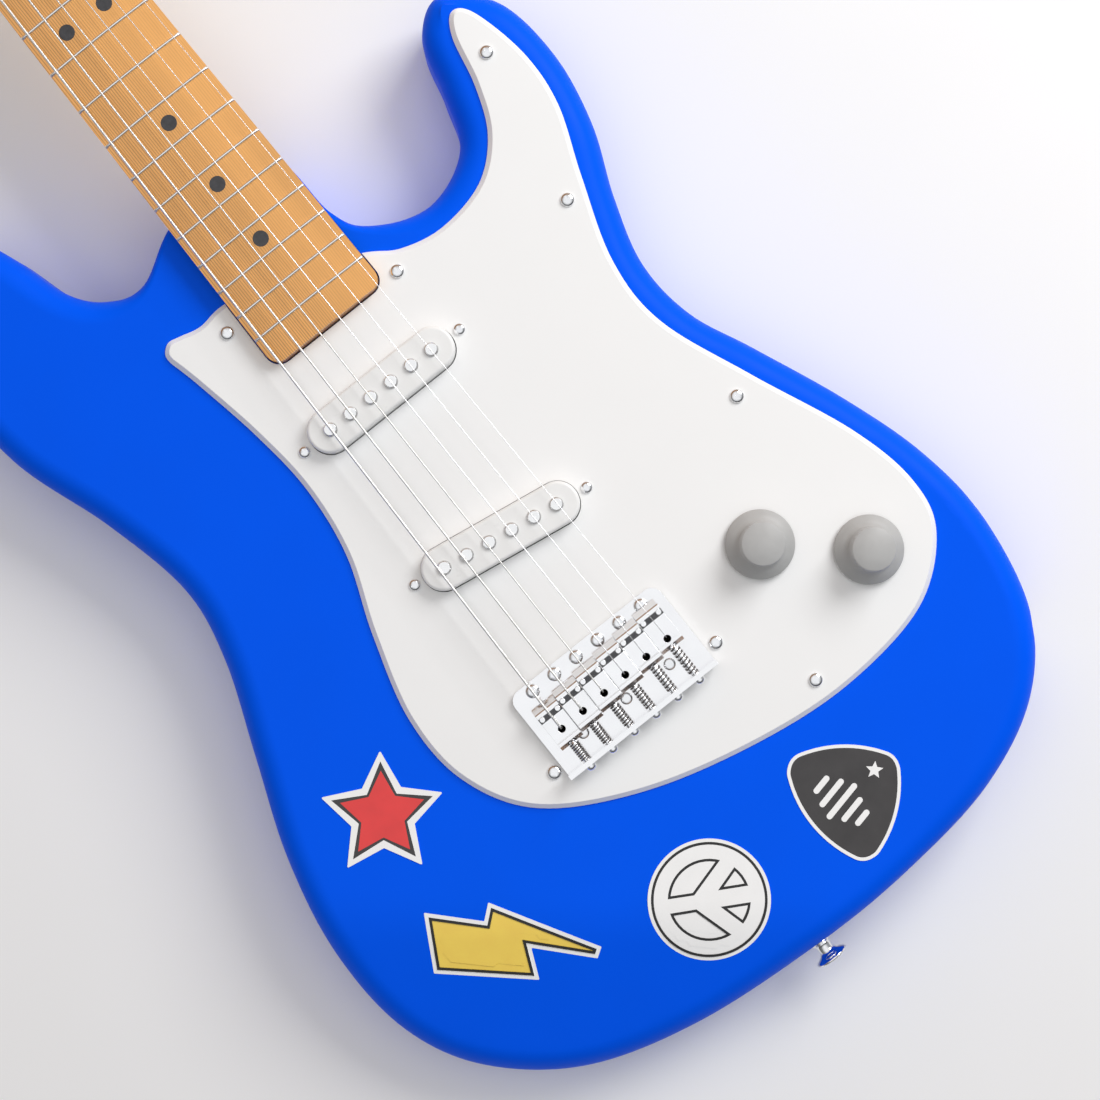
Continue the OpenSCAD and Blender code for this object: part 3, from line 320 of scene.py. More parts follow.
def weigh_normals(piece):
    modifier = piece.modifiers.new("normals", "WEIGHTED_NORMAL")
    modifier.keep_sharp = True
    modifier.weight = 60


def smooth_loop(points, steps):
    """A closed Catmull-Rom curve through the points, with as many steps between each two."""
    p = np.asarray(points, float)
    a, b, c, d = np.roll(p, 1, 0), p, np.roll(p, -1, 0), np.roll(p, -2, 0)
    rows = []
    for t in np.arange(steps) / steps:
        rows.append(0.5 * (
            2 * b + (c - a) * t + (2 * a - 5 * b + 4 * c - d) * t**2 + (3 * b - a - 3 * c + d) * t**3))
    return np.stack(rows, 1).reshape(-1, 2)


def filleted(points, radius, steps=6):
    """The polygon with each corner rounded, as far as its sides allow."""
    p = np.asarray(points, float)
    out = []
    for k in range(len(p)):
        before, here, after = p[k - 1], p[k], p[(k + 1) % len(p)]
        u, v = unit(before - here), unit(after - here)
        half = math.acos(np.clip(u @ v, -1, 1)) / 2
        r = radius[k] if hasattr(radius, "__len__") else radius
        run = r / math.tan(half)
        most = 0.49 * min(np.linalg.norm(before - here), np.linalg.norm(after - here))
        run = min(run, most)
        r = run * math.tan(half)
        if r < 0.01 or abs(math.pi / 2 - half) < 0.01:
            out.append(here)
            continue
        centre = here + unit(u + v) * r / math.sin(half)
        a, b = here + u * run - centre, here + v * run - centre
        turn = math.atan2(a[0] * b[1] - a[1] * b[0], a @ b)
        for s in range(steps + 1):
            w = turn * s / steps
            out.append(centre + [
                a[0] * math.cos(w) - a[1] * math.sin(w), a[0] * math.sin(w) + a[1] * math.cos(w)])
    return np.array(out)


def divided(loop, longest):
    """The loop with its long sides cut into shorter ones."""
    out = []
    for a, b in zip(loop, np.roll(loop, -1, 0)):
        parts = max(1, math.ceil(np.linalg.norm(b - a) / longest))
        out += [a + (b - a) * s / parts for s in range(parts)]
    return np.array(out)


def rectangle(size, centre=(0, 0), turn=0.0, radius=0.0, steps=6):
    """A turned rectangle, its corners rounded where a radius is given."""
    w, h = size[0] / 2, size[1] / 2
    loop = np.array([(-w, -h), (w, -h), (w, h), (-w, h)], float)
    if radius:
        loop = filleted(loop, min(radius, w - 0.01, h - 0.01), steps)
    return turned(loop, turn) + centre


def stadium(length, width, steps=16):
    return rectangle((length, width), radius=width / 2 - 0.01, steps=steps)


def circle(r, centre=(0, 0), steps=32):
    return heading(np.arange(steps) * 2 * math.pi / steps) * r + centre


def turned(loop, degrees):
    c, s = math.cos(math.radians(degrees)), math.sin(math.radians(degrees))
    return np.asarray(loop) @ np.array([[c, s], [-s, c]])


def outward(loop):
    """The outward direction at each point of a loop."""
    d = np.roll(loop, -1, 0) - np.roll(loop, 1, 0)
    n = np.stack([d[:, 1], -d[:, 0]], 1)
    return n / np.linalg.norm(n, axis=1, keepdims=True)


def kept_inset(loop, inset):
    """The inset at each point of the loop, held under the radius of its tighter corners."""
    u, v = loop - np.roll(loop, 1, 0), np.roll(loop, -1, 0) - loop
    turn = np.arctan2(u[:, 0] * v[:, 1] - u[:, 1] * v[:, 0], np.sum(u * v, 1))
    length = (np.linalg.norm(u, axis=1) + np.linalg.norm(v, axis=1)) / 2
    limit = np.minimum(inset, 0.75 * length / np.maximum(turn, 1e-4))
    for _ in range(4):
        limit = np.minimum(limit, np.minimum(np.roll(limit, 1), np.roll(limit, -1)))
    for _ in range(6):
        limit = (limit + np.roll(limit, 1) + np.roll(limit, -1)) / 3
    return np.minimum(limit, inset)


def inside(points, loop):
    """Which points lie inside the loop, by crossing count."""
    x, y = points[:, 0:1], points[:, 1:2]
    a, b = loop, np.roll(loop, -1, 0)
    crosses = (a[:, 1] > y) != (b[:, 1] > y)
    with np.errstate(divide="ignore", invalid="ignore"):
        at = a[:, 0] + (y - a[:, 1]) * (b[:, 0] - a[:, 0]) / (b[:, 1] - a[:, 1])
    return (np.sum(crosses & (x < at), axis=1) % 2) == 1


def triangulate(loops, extra=()):
    """Triangles that fill the first loop, less the other loops, with extra points inside."""
    points = np.concatenate([*loops, *([np.asarray(extra)] if len(extra) else [])])
    faces, start = [], 0
    for loop in loops:
        faces.append(list(range(start, start + len(loop))))
        start += len(loop)
    result = delaunay_2d_cdt([Vector(p) for p in points], [], faces, 2, 1e-7)
    new_points, triangles, source = result[0], result[2], result[3]
    index = [s[0] if s else None for s in source]
    if len(new_points) != len(points) or None in index:
        raise ValueError("two loops touch, or a point lies twice")
    out = []
    for t in triangles:
        a, b, c = (index[k] for k in t)
        u, v = points[b] - points[a], points[c] - points[a]
        out.append((a, b, c) if u[0] * v[1] - u[1] * v[0] > 0 else (a, c, b))
    return points, out


def grid_inside(loops, spacing, where=None):
    """A grid of points inside the first loop and outside the others, clear of their edges."""
    low, high = loops[0].min(0), loops[0].max(0)
    x, y = np.meshgrid(np.arange(low[0], high[0], spacing), np.arange(low[1], high[1], spacing))
    p = np.stack([x.ravel() + 0.137, y.ravel() + 0.211], 1)
    keep = inside(p, loops[0])
    for loop in loops[1:]:
        keep &= ~inside(p, loop)
    if where is not None:
        keep &= where(p)
    p = p[keep]
    edge = np.concatenate(loops)
    if len(p):
        near = np.array([np.min(np.sum((edge - q) ** 2, axis=1)) for q in p])
        p = p[near > (spacing * 0.7) ** 2]
    return p


def plate(outline, profile, holes=(), lift_top=None, lift_bottom=None, top_grid=None, bottom_grid=None):
    """Points and faces of a closed plate. profile lists (inset, z) from the bottom to the top of its edge.
    An inset may be one number or one for each point of the outline. holes are loops cut right through.
    lift_top and lift_bottom move heights by a function of place, full at the faces."""
    n, out = len(outline), outward(outline)
    middle = (np.mean(profile[0][1]) + np.mean(profile[-1][1])) / 2
    rings = []
    for inset, z in profile:
        ring = outline - out * np.reshape(kept_inset(outline, inset), (-1, 1))
        heights = np.broadcast_to(z, (n,)).astype(float).copy()
        if lift_top is not None and np.mean(heights) > middle:
            heights = heights + lift_top(ring)
        if lift_bottom is not None and np.mean(heights) < middle:
            heights = heights + lift_bottom(ring)
        rings.append(np.column_stack([ring, heights]))
    points = [np.concatenate(rings)]
    faces = []
    for k in range(len(rings) - 1):
        a, b = k * n, (k + 1) * n
        faces += [(a + j, a + (j + 1) % n, b + (j + 1) % n, b + j) for j in range(n)]
    holes = [np.asarray(h, float) for h in holes]
    start = n * len(rings)
    hole_start = []
    for k, lift in ((0, lift_bottom), (len(rings) - 1, lift_top)):
        ring = rings[k][:, :2]
        z = rings[k][0, 2] if lift is None else np.ravel(profile[k][1])[0]
        grid = top_grid if k else bottom_grid
        extra = grid_inside([ring, *holes], *grid) if grid else np.zeros((0, 2))
        flat, triangles = triangulate([ring, *holes], extra)
        added = flat[n:]
        heights = np.full(len(added), z, float)
        if lift is not None and len(added):
            heights = heights + lift(added)
        points.append(np.column_stack([added, heights]))
        remap = np.concatenate([np.arange(n) + k * n, np.arange(len(added)) + start])
        hole_start.append(start)
        start += len(added)
        for t in triangles:
            a, b, c = (int(remap[j]) for j in t)
            faces.append((a, b, c) if k else (a, c, b))
    offset = 0
    for h in holes:
        m = len(h)
        low, top = hole_start[0] + offset, hole_start[1] + offset
        way = 1 if area(h) > 0 else -1
        for j in range(m):
            i = (j + 1) % m
            faces.append((low + i, low + j, top + j, top + i)[::way])
        offset += m
    return np.concatenate(points), faces


def edge_profile(z_low, z_high, bottom_r, top_r, steps=4):
    """A plate's edge with rounded bottom and top, as (inset, z) pairs."""
    angles = np.radians(np.linspace(0, 90, steps + 1))
    out = [(bottom_r - bottom_r * math.sin(a), z_low + bottom_r - bottom_r * math.cos(a)) for a in angles]
    out += [(top_r - top_r * math.sin(a), z_high - top_r + top_r * math.cos(a)) for a in angles[::-1]]
    return out


def loft(rings, flip=False):
    """Points and faces of a closed shape through rings of equally many points."""
    n, m = len(rings), len(rings[0])
    faces = [
        (k * m + j, k * m + (j + 1) % m, (k + 1) * m + (j + 1) % m, (k + 1) * m + j)
        for k in range(n - 1) for j in range(m)]
    faces += [tuple(range(m))[::-1], tuple(range((n - 1) * m, n * m))]
    return np.array(rings).reshape(-1, 3), [f[::-1] for f in faces] if flip else faces


def tube(path, radius, sides):
    """Points and faces of a closed round tube along a path, without twist."""
    path = np.asarray(path, float)
    tangent = np.gradient(path, axis=0)
    tangent /= np.linalg.norm(tangent, axis=1, keepdims=True)
    ref = np.array([1.0, 0, 0]) if abs(tangent[0][0]) < 0.8 else np.array([0, 0, 1.0])
    u = unit(ref - tangent[0] * (ref @ tangent[0]))
    rings = []
    for at, way in zip(path, tangent):
        u = unit(u - way * (u @ way))
        rings.append(at + circle(radius, steps=sides) @ np.array([u, np.cross(way, u)]))
    return loft(rings)


def lathe(section, steps):
    """Points and faces of a closed turned shape from (r, z) pairs that start and end on the axis."""
    inner = section[1:-1]
    points = [(x, y, z) for r, z in inner for x, y in circle(r, steps=steps)]
    faces = []
    for k in range(len(inner) - 1):
        for j in range(steps):
            i = (j + 1) % steps
            faces.append((k * steps + j, k * steps + i, (k + 1) * steps + i, (k + 1) * steps + j))
    for end, ring in ((section[0], 0), (section[-1], len(inner) - 1)):
        points.append((0, 0, end[1]))
        tip = len(points) - 1
        for j in range(steps):
            i = (j + 1) % steps
            pair = (ring * steps + j, ring * steps + i)
            faces.append((*(pair if ring else pair[::-1]), tip))
    return np.array(points), faces


def joined(parts):
    """One set of points and faces from several, with a material index for each face."""
    points, faces, index, start = [], [], [], 0
    for part_points, part_faces, material in parts:
        points.append(part_points)
        faces += [tuple(i + start for i in f) for f in part_faces]
        index += [material] * len(part_faces)
        start += len(part_points)
    return np.concatenate(points), faces, index


def combine(piece, shape, operation, materials=()):
    """Cuts a closed shape, given as (points, faces), out of a piece, or joins it on."""
    tool = new_piece("tool", *shape, materials)
    modifier = piece.modifiers.new("combine", "BOOLEAN")
    modifier.operation = operation
    modifier.solver = "MANIFOLD"
    modifier.object = tool
    bake_modifiers(piece)
    bpy.data.objects.remove(tool)


def cut(piece, cutters):
    for shape in cutters:
        combine(piece, shape, "DIFFERENCE")


def bake_modifiers(piece):
    evaluated = piece.evaluated_get(bpy.context.evaluated_depsgraph_get())
    mesh = bpy.data.meshes.new_from_object(evaluated)
    piece.modifiers.clear()
    piece.data = mesh


def prism(loop, z_low, z_high):
    return plate(np.asarray(loop, float), [(0.0, z_low), (0.0, z_high)])


# ---------------------------------------------------------------- outlines
BODY_POINTS = [
    (0, -151), (50, -149.5), (95, -142.5), (131, -125.5), (154, -97), (163, -55), (160, -18), (148.5, 20),
    (132, 60), (120, 88), (117.5, 116), (125.5, 145), (137.5, 175), (143, 207), (138.5, 238), (120, 256),
    (103.5, 246), (96.5, 223), (87, 200), (63, 190), (38, 199), (29, 213), (25, 244), (0, 252), (-26, 249),
    (-50, 237.5), (-66.5, 242.5), (-78, 256), (-86, 281), (-95, 300), (-107, 307), (-127, 290), (-139.5, 255),
    (-138, 213), (-124, 169), (-115.7, 128), (-121, 95), (-136, 56), (-152, 14), (-161.5, -32), (-159.5, -73),
    (-143, -106), (-109, -133), (-60, -147),
]
GUARD_POINTS = [
    (-56.5, 211.3), (-60.3, 208.6), (-61, 204.8), (-59.5, 198.5), (-57.2, 188), (-52, 159), (-49.5, 129),
    (-53.5, 97.5), (-65.5, 65), (-75.5, 28), (-73.5, -5), (-56, -33.5), (-17.5, -55), (30, -68),
    (74.5, -72.5), (117, -66), (142, -46.5), (148, -23.5), (141.5, 8), (123, 52), (107.5, 92.5),
    (107.5, 124), (119, 159), (130, 188.5), (132, 213.5), (126.5, 239), (119.5, 245.5), (113, 237),
    (107.9, 215.5), (99.5, 196.5), (84, 183), (61.5, 178.4), (42.5, 182.2), (28.5, 190.8), (0, 203),
    (-28, 209.3), (-42, 208.3), (-51, 210.3),
]
GUARD_SCREWS = [
    (120, 223), (108.3, 155), (35.4, 175.5), (-35, 199), (112.6, 48.7), (65.5, -62.5), (43, -25),
    (-42, -25.5)]
HEAD_POINTS = [
    (21.3, 638), (21.7, 652), (27, 690), (37, 800), (31, 827), (8, 828), (1.5, 806), (-37.5, 662),
    (-22.3, 650), (-21.3, 638)]
HEAD_RADII = [0.5, 40, 200, 40, 8, 8, 60, 7, 10, 0.5]
CONTROL_POINTS = [(58, 32), (58, -38), (74, -62), (113, -62), (135, -31), (130, 1), (108, 32)]


def neck_half(y):
    """Half the width of the neck."""
    return HEEL_HALF + (NUT_HALF - HEEL_HALF) * (y - 175) / (NUT_Y - 175)


def heel_plan(gap, y1):
    """The neck's plan from the heel on, with the heel's corners rounded."""
    y0, r = HEEL_Y - gap, HEEL_CORNER + gap
    a, b = neck_half(y0) + gap, neck_half(y1) + gap
    return filleted([(-a, y0), (a, y0), (b, y1), (-b, y1)], [r, r, 0, 0], 8)


def heel_inset(y):
    """How far the heel's rounded corners draw in the sides of the neck."""
    return HEEL_CORNER - math.sqrt(HEEL_CORNER**2 - max(0.0, HEEL_Y + HEEL_CORNER - y) ** 2)


def heel_stations():
    """Places along the neck that follow the heel's corners."""
    return HEEL_Y + HEEL_CORNER * (1 - np.cos(np.radians(np.linspace(8, 90, 9))))


# The forearm contour falls away across the bass corner: level, then an arc, then a slope
CONTOUR_FROM = np.array([-157.0, 0.0])
CONTOUR_WAY = heading(math.radians(-128.7))
CONTOUR_R = 90.0
CONTOUR_SLOPE = math.radians(12)
SCOOP = (-146.0, 125.0, -225.0, 241.0)  # centre and radius of the ball that hollows the back


def contour_drop(p):
    """How far the forearm contour lies under the front of the body."""
    u = np.maximum(0, (p - CONTOUR_FROM) @ CONTOUR_WAY)
    arc = CONTOUR_R * math.sin(CONTOUR_SLOPE)
    along_arc = np.minimum(u, arc)
    return CONTOUR_R - np.sqrt(CONTOUR_R**2 - along_arc**2) + np.maximum(0, u - arc) * math.tan(CONTOUR_SLOPE)


def scoop_rise(p):
    """The belly scoop in the back, with its edge softened."""
    d2 = np.sum((p - np.array(SCOOP[:2])) ** 2, axis=1)
    z = SCOOP[2] + np.sqrt(np.maximum(SCOOP[3] ** 2 - d2, 0))
    soft = 1.2
    return np.where(z > -30, 0.5 * (z + np.sqrt(z**2 + soft**2)), 0.0) * (z > -14)


# ---------------------------------------------------------------- body
def make_body():
    low, high = (corner[:2] for corner in node_box("body"))
    loop = np.clip(smooth_loop(BODY_POINTS, 10), low, high)
    away = np.linalg.norm(loop - [0, 232], axis=1)
    radius = 3 + 8 * np.clip((away - 38) / 24, 0, 1)
    angles = np.radians(np.linspace(0, 90, 10))
    profile = [(radius * (1 - math.sin(a)), radius * (1 - math.cos(a))) for a in angles]
    profile += [(radius * (1 - math.sin(a)), BODY_TOP - radius * (1 - math.cos(a))) for a in angles[::-1]]
    low_z, high_z = np.zeros(len(loop)), np.full(len(loop), BODY_TOP)
    profile[0] = (profile[0][0], low_z)
    profile[-1] = (profile[-1][0], high_z)

    def near_contour(p):
        return ((p - CONTOUR_FROM) @ CONTOUR_WAY) > -8

    def near_scoop(p):
        return np.sum((p - np.array(SCOOP[:2])) ** 2, axis=1) < 104**2

    points, faces = plate(
        loop, profile, lift_top=lambda p: -contour_drop(p), lift_bottom=scoop_rise,
        top_grid=(5, near_contour), bottom_grid=(5, near_scoop))
    body = new_piece("body_shell", points, faces, [M["lacquer"], M["bare_wood"]])
    cut(body, [
        prism(heel_plan(0.3, 300), POCKET_Z, OPEN_Z),
        *[prism(rectangle((94, 28), at, turn, 5), ROUT_Z, OPEN_Z) for at, turn in PICKUPS],
        prism(rectangle((44, 84), (4, 102)), ROUT_Z + 0.01, OPEN_Z),  # between the pickups
        prism(filleted(CONTROL_POINTS, 6), CONTROL_Z, OPEN_Z),
        prism(rectangle((44, 14), (58, 42), -32), ROUT_Z + 0.02, OPEN_Z),  # pickups to controls
        prism(rectangle((73, 24.5), (0, -17.75)), -2, OPEN_Z),  # the bridge's block passes through
        prism(rectangle((66, 128), (0, 54)), -1, SPRING_Z),
        prism(rectangle((73.02, 38.5), (0, -24.75)), -1, BLOCK_Z),
        prism(rectangle((86.6, 172.6), (0, 39), radius=6), -1.5, RECESS_Z),  # back cover
        prism(rectangle((44.5, 60.5), (-2, 212), radius=4), -1.5, RECESS_Z),  # neck plate
        jack_cutter(16, -2.6, 12),
        jack_cutter(11, -48, 2),
    ])
    shade(body, 30)
    weigh_normals(body)
    finish_piece(body, "guitar", "body")


def jack_cutter(r, start, end):
    """A round bore along the jack's axis, from start to end outwards of its place."""
    at, way = np.array([JACK[0], JACK[1], BODY_TOP / 2]), np.array([*heading(math.radians(JACK[2])), 0])
    return tube([at + way * start, at + way * (start + end) / 2, at + way * end], r, 64)


# ---------------------------------------------------------------- pickguard, covers and plates
def make_pickguard():
    loop = smooth_loop(GUARD_POINTS, 10)
    z, shaft_r, screw_r, pivot_r = GUARD_TOP - 2.46, 4.95, 1.6, 2
    holes = [turned(stadium(72.8, 19.3), turn) + at for at, turn in PICKUPS]
    holes += [circle(shaft_r, at) for at in KNOBS]
    holes += [circle(screw_r, at, 16) for at in GUARD_SCREWS]
    holes += [circle(pivot_r, (bridge_x(i), 6.2), 16) for i in range(6)]
    holes.append(rectangle((72, 23.4), (0, -17.75), radius=2))
    points, faces = plate(
        loop, [(0.15, z), (0.0, z + 0.15), (0.0, z + 0.5), (1.95, GUARD_TOP - 0.06), (2.2, GUARD_TOP)], holes)
    guard = new_piece("pickguard_sheet", points, faces, [M["guard"]])
    cut(guard, [prism(heel_plan(0.7, 260), 40, OPEN_Z)])
    shade(guard, 25)
    weigh_normals(guard)
    finish_piece(guard, "guitar", "pickguard")


def make_covers():
    for k, (at, turn) in enumerate(PICKUPS):
        holes = [turned(circle(2.9, ((j - 2.5) * POLE_PITCH, 0), 40), turn) + at for j in range(6)]
        outline = turned(stadium(72, 18.5, 20), turn) + at
        points, faces = plate(outline, edge_profile(BODY_TOP - 6.9, COVER_TOP, 0.3, 1.5, 6), holes)
        cover = new_piece(f"pickup_cover_{k + 1}", points, faces, [M["cover"]])
        weigh_normals(cover)
        finish_piece(cover, "guitar", "pickup_covers")


# ---------------------------------------------------------------- neck
def make_neck():
    """A lofted shaft from the rounded heel to the headstock, whose plate is joined on."""
    head_low, head_top = 31.0, BODY_TOP
    heel_depth, nut_depth, post_bore = 16.6, 14.6, 5.04

    def ease(y, a, b):
        t = float(np.clip((y - a) / (b - a), 0, 1))
        return t**2 * (3 - 2 * t)

    stations = np.unique(np.concatenate([
        heel_stations(), [230, 250], np.linspace(252, 296, 23), np.linspace(300, 620, 17),
        np.linspace(624, 664, 29)]))
    a = np.radians(np.linspace(180, 360, 41))
    rings = []
    for y in stations:
        half = neck_half(min(y, NUT_Y + 4)) - heel_inset(y)
        low = POCKET_Z + (BOARD_Z - heel_depth - POCKET_Z) * ease(y, 252, 292)
        low += (heel_depth - nut_depth) * ease(y, 300, 620)
        low += (head_low - BOARD_Z + nut_depth) * ease(y, 624, 660)
        top = BOARD_Z - 0.02 - (BOARD_Z - head_top) * ease(y, NUT_Y + 4, NUT_Y + 16)
        power = 14 - 11.7 * ease(y, 250, 290) + 6 * ease(y, 628, 660)  # square heel, round grip
        x = half * np.sign(np.cos(a)) * np.abs(np.cos(a)) ** (2 / power)
        z = top - (top - low) * np.abs(np.sin(a)) ** (2 / power)
        rings.append(np.stack([x, np.full(len(a), y), z], 1))
    neck = new_piece("neck_shaft", *loft(rings, flip=True), [M["maple"]])
    outline = filleted(HEAD_POINTS, HEAD_RADII, 10)
    head = plate(outline, edge_profile(head_low, head_top, 1.8, 1.8, 5))
    combine(neck, head, "UNION", [M["maple"]])
    cut(neck, [prism(circle(post_bore, post_place(i), 40), 20, OPEN_Z) for i in range(6)])
    shade(neck, 32)
    weigh_normals(neck)
    finish_piece(neck, "guitar", "neck")


def make_board():
    """The fingerboard, curved across, with its corners rounded at the heel and its dots just proud."""
    across, dot_proud = np.linspace(-1, 1, 25), 0.03
    stations = np.concatenate([heel_stations(), np.linspace(190, NUT_Y - 0.2, 60)])
    rings = []
    for y in stations:
        xs = across * (neck_half(y) - heel_inset(y))
        top = BOARD_TOP - dot_proud - BOARD_R + np.sqrt(BOARD_R**2 - xs**2)
        rings.append([(xs[0], y, BOARD_Z), *zip(xs, np.full(len(xs), y), top), (xs[-1], y, BOARD_Z)])
    piece = new_piece("fingerboard_plank", *loft(rings), [M["board"]], sharp=40)
    finish_piece(piece, "guitar", "fingerboard")


def fret_y(n):
    """The frets past the octave are spaced a little wider than those before it."""
    if n < 12:
        return NUT_Y - (NUT_Y - FRET_12_Y) * 2 * (1 - 2 ** (-n / 12))
    return FRET_12_Y - UPPER_SCALE * (0.5 - 2 ** (-n / 12))


def make_frets():
    """Thin crowned wires across the curved board, with their ends eased."""
    section = [
        (-0.72, -0.3), (-0.72, 0.25), (-0.6, 0.62), (-0.3, 0.92), (0, 1.02), (0.3, 0.92), (0.6, 0.62),
        (0.72, 0.25), (0.72, -0.3)]
    parts = []
    for n in range(1, FRET_COUNT + 1):
        y, half = fret_y(n), neck_half(fret_y(n)) - 0.1
        reach = math.asin(half / BOARD_R)
        rings = []
        for s in np.concatenate([[-1, -0.985], np.linspace(-0.96, 0.96, 17), [0.985, 1]]):
            ease = min(1, 0.25 + (1 - abs(s)) * 22)
            ring = []
            for w, h in section:
                r = BOARD_R + h * (ease if h > 0 else 1)
                ring.append((r * math.sin(s * reach), y + w, BOARD_TOP - BOARD_R + r * math.cos(s * reach)))
            rings.append(ring)
        parts.append((*loft(rings, flip=True), 0))
    points, faces, index = joined(parts)
    piece = new_piece("fret_wires", points, faces, [M["fret"]], index, sharp=50)
    finish_piece(piece, "guitar", "frets")


def bridge_x(i):
    return (i - 2.5) * BRIDGE_PITCH


def nut_x(i):
    return (i - 2.5) * NUT_PITCH


def post_place(i):
    return np.array([nut_x(i) - 3.4, 674 + 25.5 * i])


# ---------------------------------------------------------------- strings and springs
def rounded_path(points, reach):
    """Straight runs with their corners eased by a curve that starts and ends reach away."""
    steps = 6
    p = [np.asarray(q, float) for q in points]
    out = [p[0]]
    for k in range(1, len(p) - 1):
        r = min(reach, 0.45 * np.linalg.norm(p[k] - p[k - 1]), 0.45 * np.linalg.norm(p[k + 1] - p[k]))
        a, b = p[k] + unit(p[k - 1] - p[k]) * r, p[k] + unit(p[k + 1] - p[k]) * r
        for s in range(steps + 1):
            t = s / steps
            out.append((1 - t) ** 2 * a + 2 * t * (1 - t) * p[k] + t**2 * b)
    out.append(p[-1])
    return out


def make_strings():
    """Each string from its ball in the block, over saddle and nut, to a few turns round its post."""
    for i, r in enumerate(STRING_R):
        x, hole_y, crown_y = bridge_x(i), -13 + 0.4 * i, -3 + i
        saddle_z = BODY_TOP + 14 - x**2 / (2 * BOARD_R)
        nut_z = BOARD_TOP - nut_x(i) ** 2 / (2 * BOARD_R) + 1.6 + r
        post, wrap_r, post_z = post_place(i), 2.6 + r + 0.03, BODY_TOP + 6
        points = [
            (x, hole_y, 20.5), (x, hole_y + 0.6, saddle_z - 1.45 + r),
            (x, crown_y - 0.4, saddle_z + r + 0.04), (nut_x(i), NUT_Y + 1.7, nut_z)]
        if i > 3:
            points.append((nut_x(i), 712, 50.6))
        points.append((post[0] + wrap_r, post[1] - 0.6, post_z))
        path = rounded_path(points, 1.0)
        dense = []
        for a, b in zip(path, path[1:]):
            parts = max(1, int(np.linalg.norm(b - a) / (3 if a[1] < 30 else 20)))
            dense += [a + (b - a) * s / parts for s in range(parts)]
        turns, steps = 2.6, 28
        for s in range(int(turns * steps) + 1):
            x_y = post + wrap_r * heading(2 * math.pi * s / steps)
            dense.append(np.array([*x_y, post_z - 2.08 * r * s / steps]))
        parts = [(*tube(dense, r, 12), 0)]
        ball_points, ball_faces = lathe([(0, 0), (1.5, 0), (1.8, 0.3), (1.8, 2.7), (1.5, 3), (0, 3)], 24)
        parts.append((ball_points + [x, hole_y, 18.2], ball_faces, 1))
        points, faces, index = joined(parts)
        wire = M["wound" if i < 3 else "string"]
        piece = new_piece(f"string_{i + 1}", points, faces, [wire, M["brass"]], index, sharp=50)
        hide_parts("strings")
        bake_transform(piece)


def helix(r, y0, y1, turns, centre):
    steps = 20
    t = np.arange(int(turns * steps) + 1)
    a = 2 * math.pi * t / steps
    return np.stack([
        centre[0] + r * np.sin(a), y0 + (y1 - y0) * t / (turns * steps), centre[1] + r * np.cos(a)], 1)


def make_springs():
    """A spring round each intonation screw, and three from the block to the claw."""
    axis_z = 53.9
    for i in range(6):
        end = -3 + i - 17.75
        path = helix(1.86, -29.1, end, 8, (bridge_x(i), axis_z))
        piece = new_piece(f"intonation_spring_{i + 1}", *tube(path, 0.3, 8), [M["spring"]], sharp=60)
        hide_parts("intonation_springs")
        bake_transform(piece)
    for k, x in enumerate((-22.5, 0, 22.5)):
        coil = helix(3.4, 0, 82, 34, (x, 10))
        path = np.concatenate([
            [(x + 0.3, -8.5, 10), (x + 0.3, -5, 10), (x + 0.2, -1.6, 11.8)], coil,
            [(x + 1.4, 85, 11.8), (x + 1.2, 90, 8.6), (x, 94.9, 7.4)]])
        piece = new_piece(f"trem_spring_{k + 1}", *tube(path, 0.5, 8), [M["steel"]], sharp=60)
        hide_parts("trem_springs")
        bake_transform(piece)


# ---------------------------------------------------------------- knobs
def make_knobs():
    """Knobs with a wide skirt and a plain round grip, hollow underneath."""
    for name, body in (("volume_knob", "volume_control"), ("tone_knob", "tone_control")):
        low, high = node_box(name)
        centre = (low + high) / 2
        top, skirt_r, grip_r = high[2] - low[2], (high[0] - low[0]) / 2, 9.1
        section = [
            (0, 8.6), (3.03, 8.6), (3.03, 4.2), (8.3, 4.2), (8.3, 0), (skirt_r - 0.5, 0),
            (skirt_r - 0.12, 0.12), (skirt_r, 0.5), (skirt_r, 1.2), (skirt_r - 0.2, 1.6),
            (skirt_r - 0.7, 1.9), (grip_r + 3.4, 3.2), (grip_r + 2.2, 3.8), (grip_r + 1.2, 4.4),
            (grip_r + 0.55, 5.1), (grip_r + 0.2, 6), (grip_r, 7), (grip_r, 8.5), (grip_r - 0.1, top - 0.5),
            (grip_r - 0.22, top - 0.2), (grip_r - 0.5, top), (0, top)]
        points, faces = lathe(section, 144)
        points = points + [centre[0], centre[1], low[2]]
        knob = new_piece(name + "_cap", points, faces, [M["knob"]], sharp=40)
        finish_piece(knob, body, name)


# ---------------------------------------------------------------- stickers
def inflate(points, grow, radius, steps=5):
    """The polygon with its sides moved out and its corners rounded."""
    p = np.asarray(points, float)
    out = []
    for k in range(len(p)):
        u, v = unit(p[k] - p[k - 1]), unit(p[(k + 1) % len(p)] - p[k])
        nu, nv = np.array([u[1], -u[0]]), np.array([v[1], -v[0]])
        bisector = unit(nu + nv)
        out.append(p[k] + bisector * grow / max(0.3, bisector @ nu))
    return filleted(out, radius, steps)


def star_points(r, ratio):
    """A star of five points, one of them downwards."""
    k = np.arange(10)
    return heading(np.radians(-90 + 36 * k)) * np.where(k % 2 == 0, r, r * ratio)[:, None]


def bar(p, q, width):
    """A straight bar with round ends, as an outline."""
    p, q = np.asarray(p, float), np.asarray(q, float)
    way = q - p
    length = np.linalg.norm(way)
    turn = math.degrees(math.atan2(way[1], way[0]))
    return turned(stadium(length + width, width, 8), turn) + (p + q) / 2


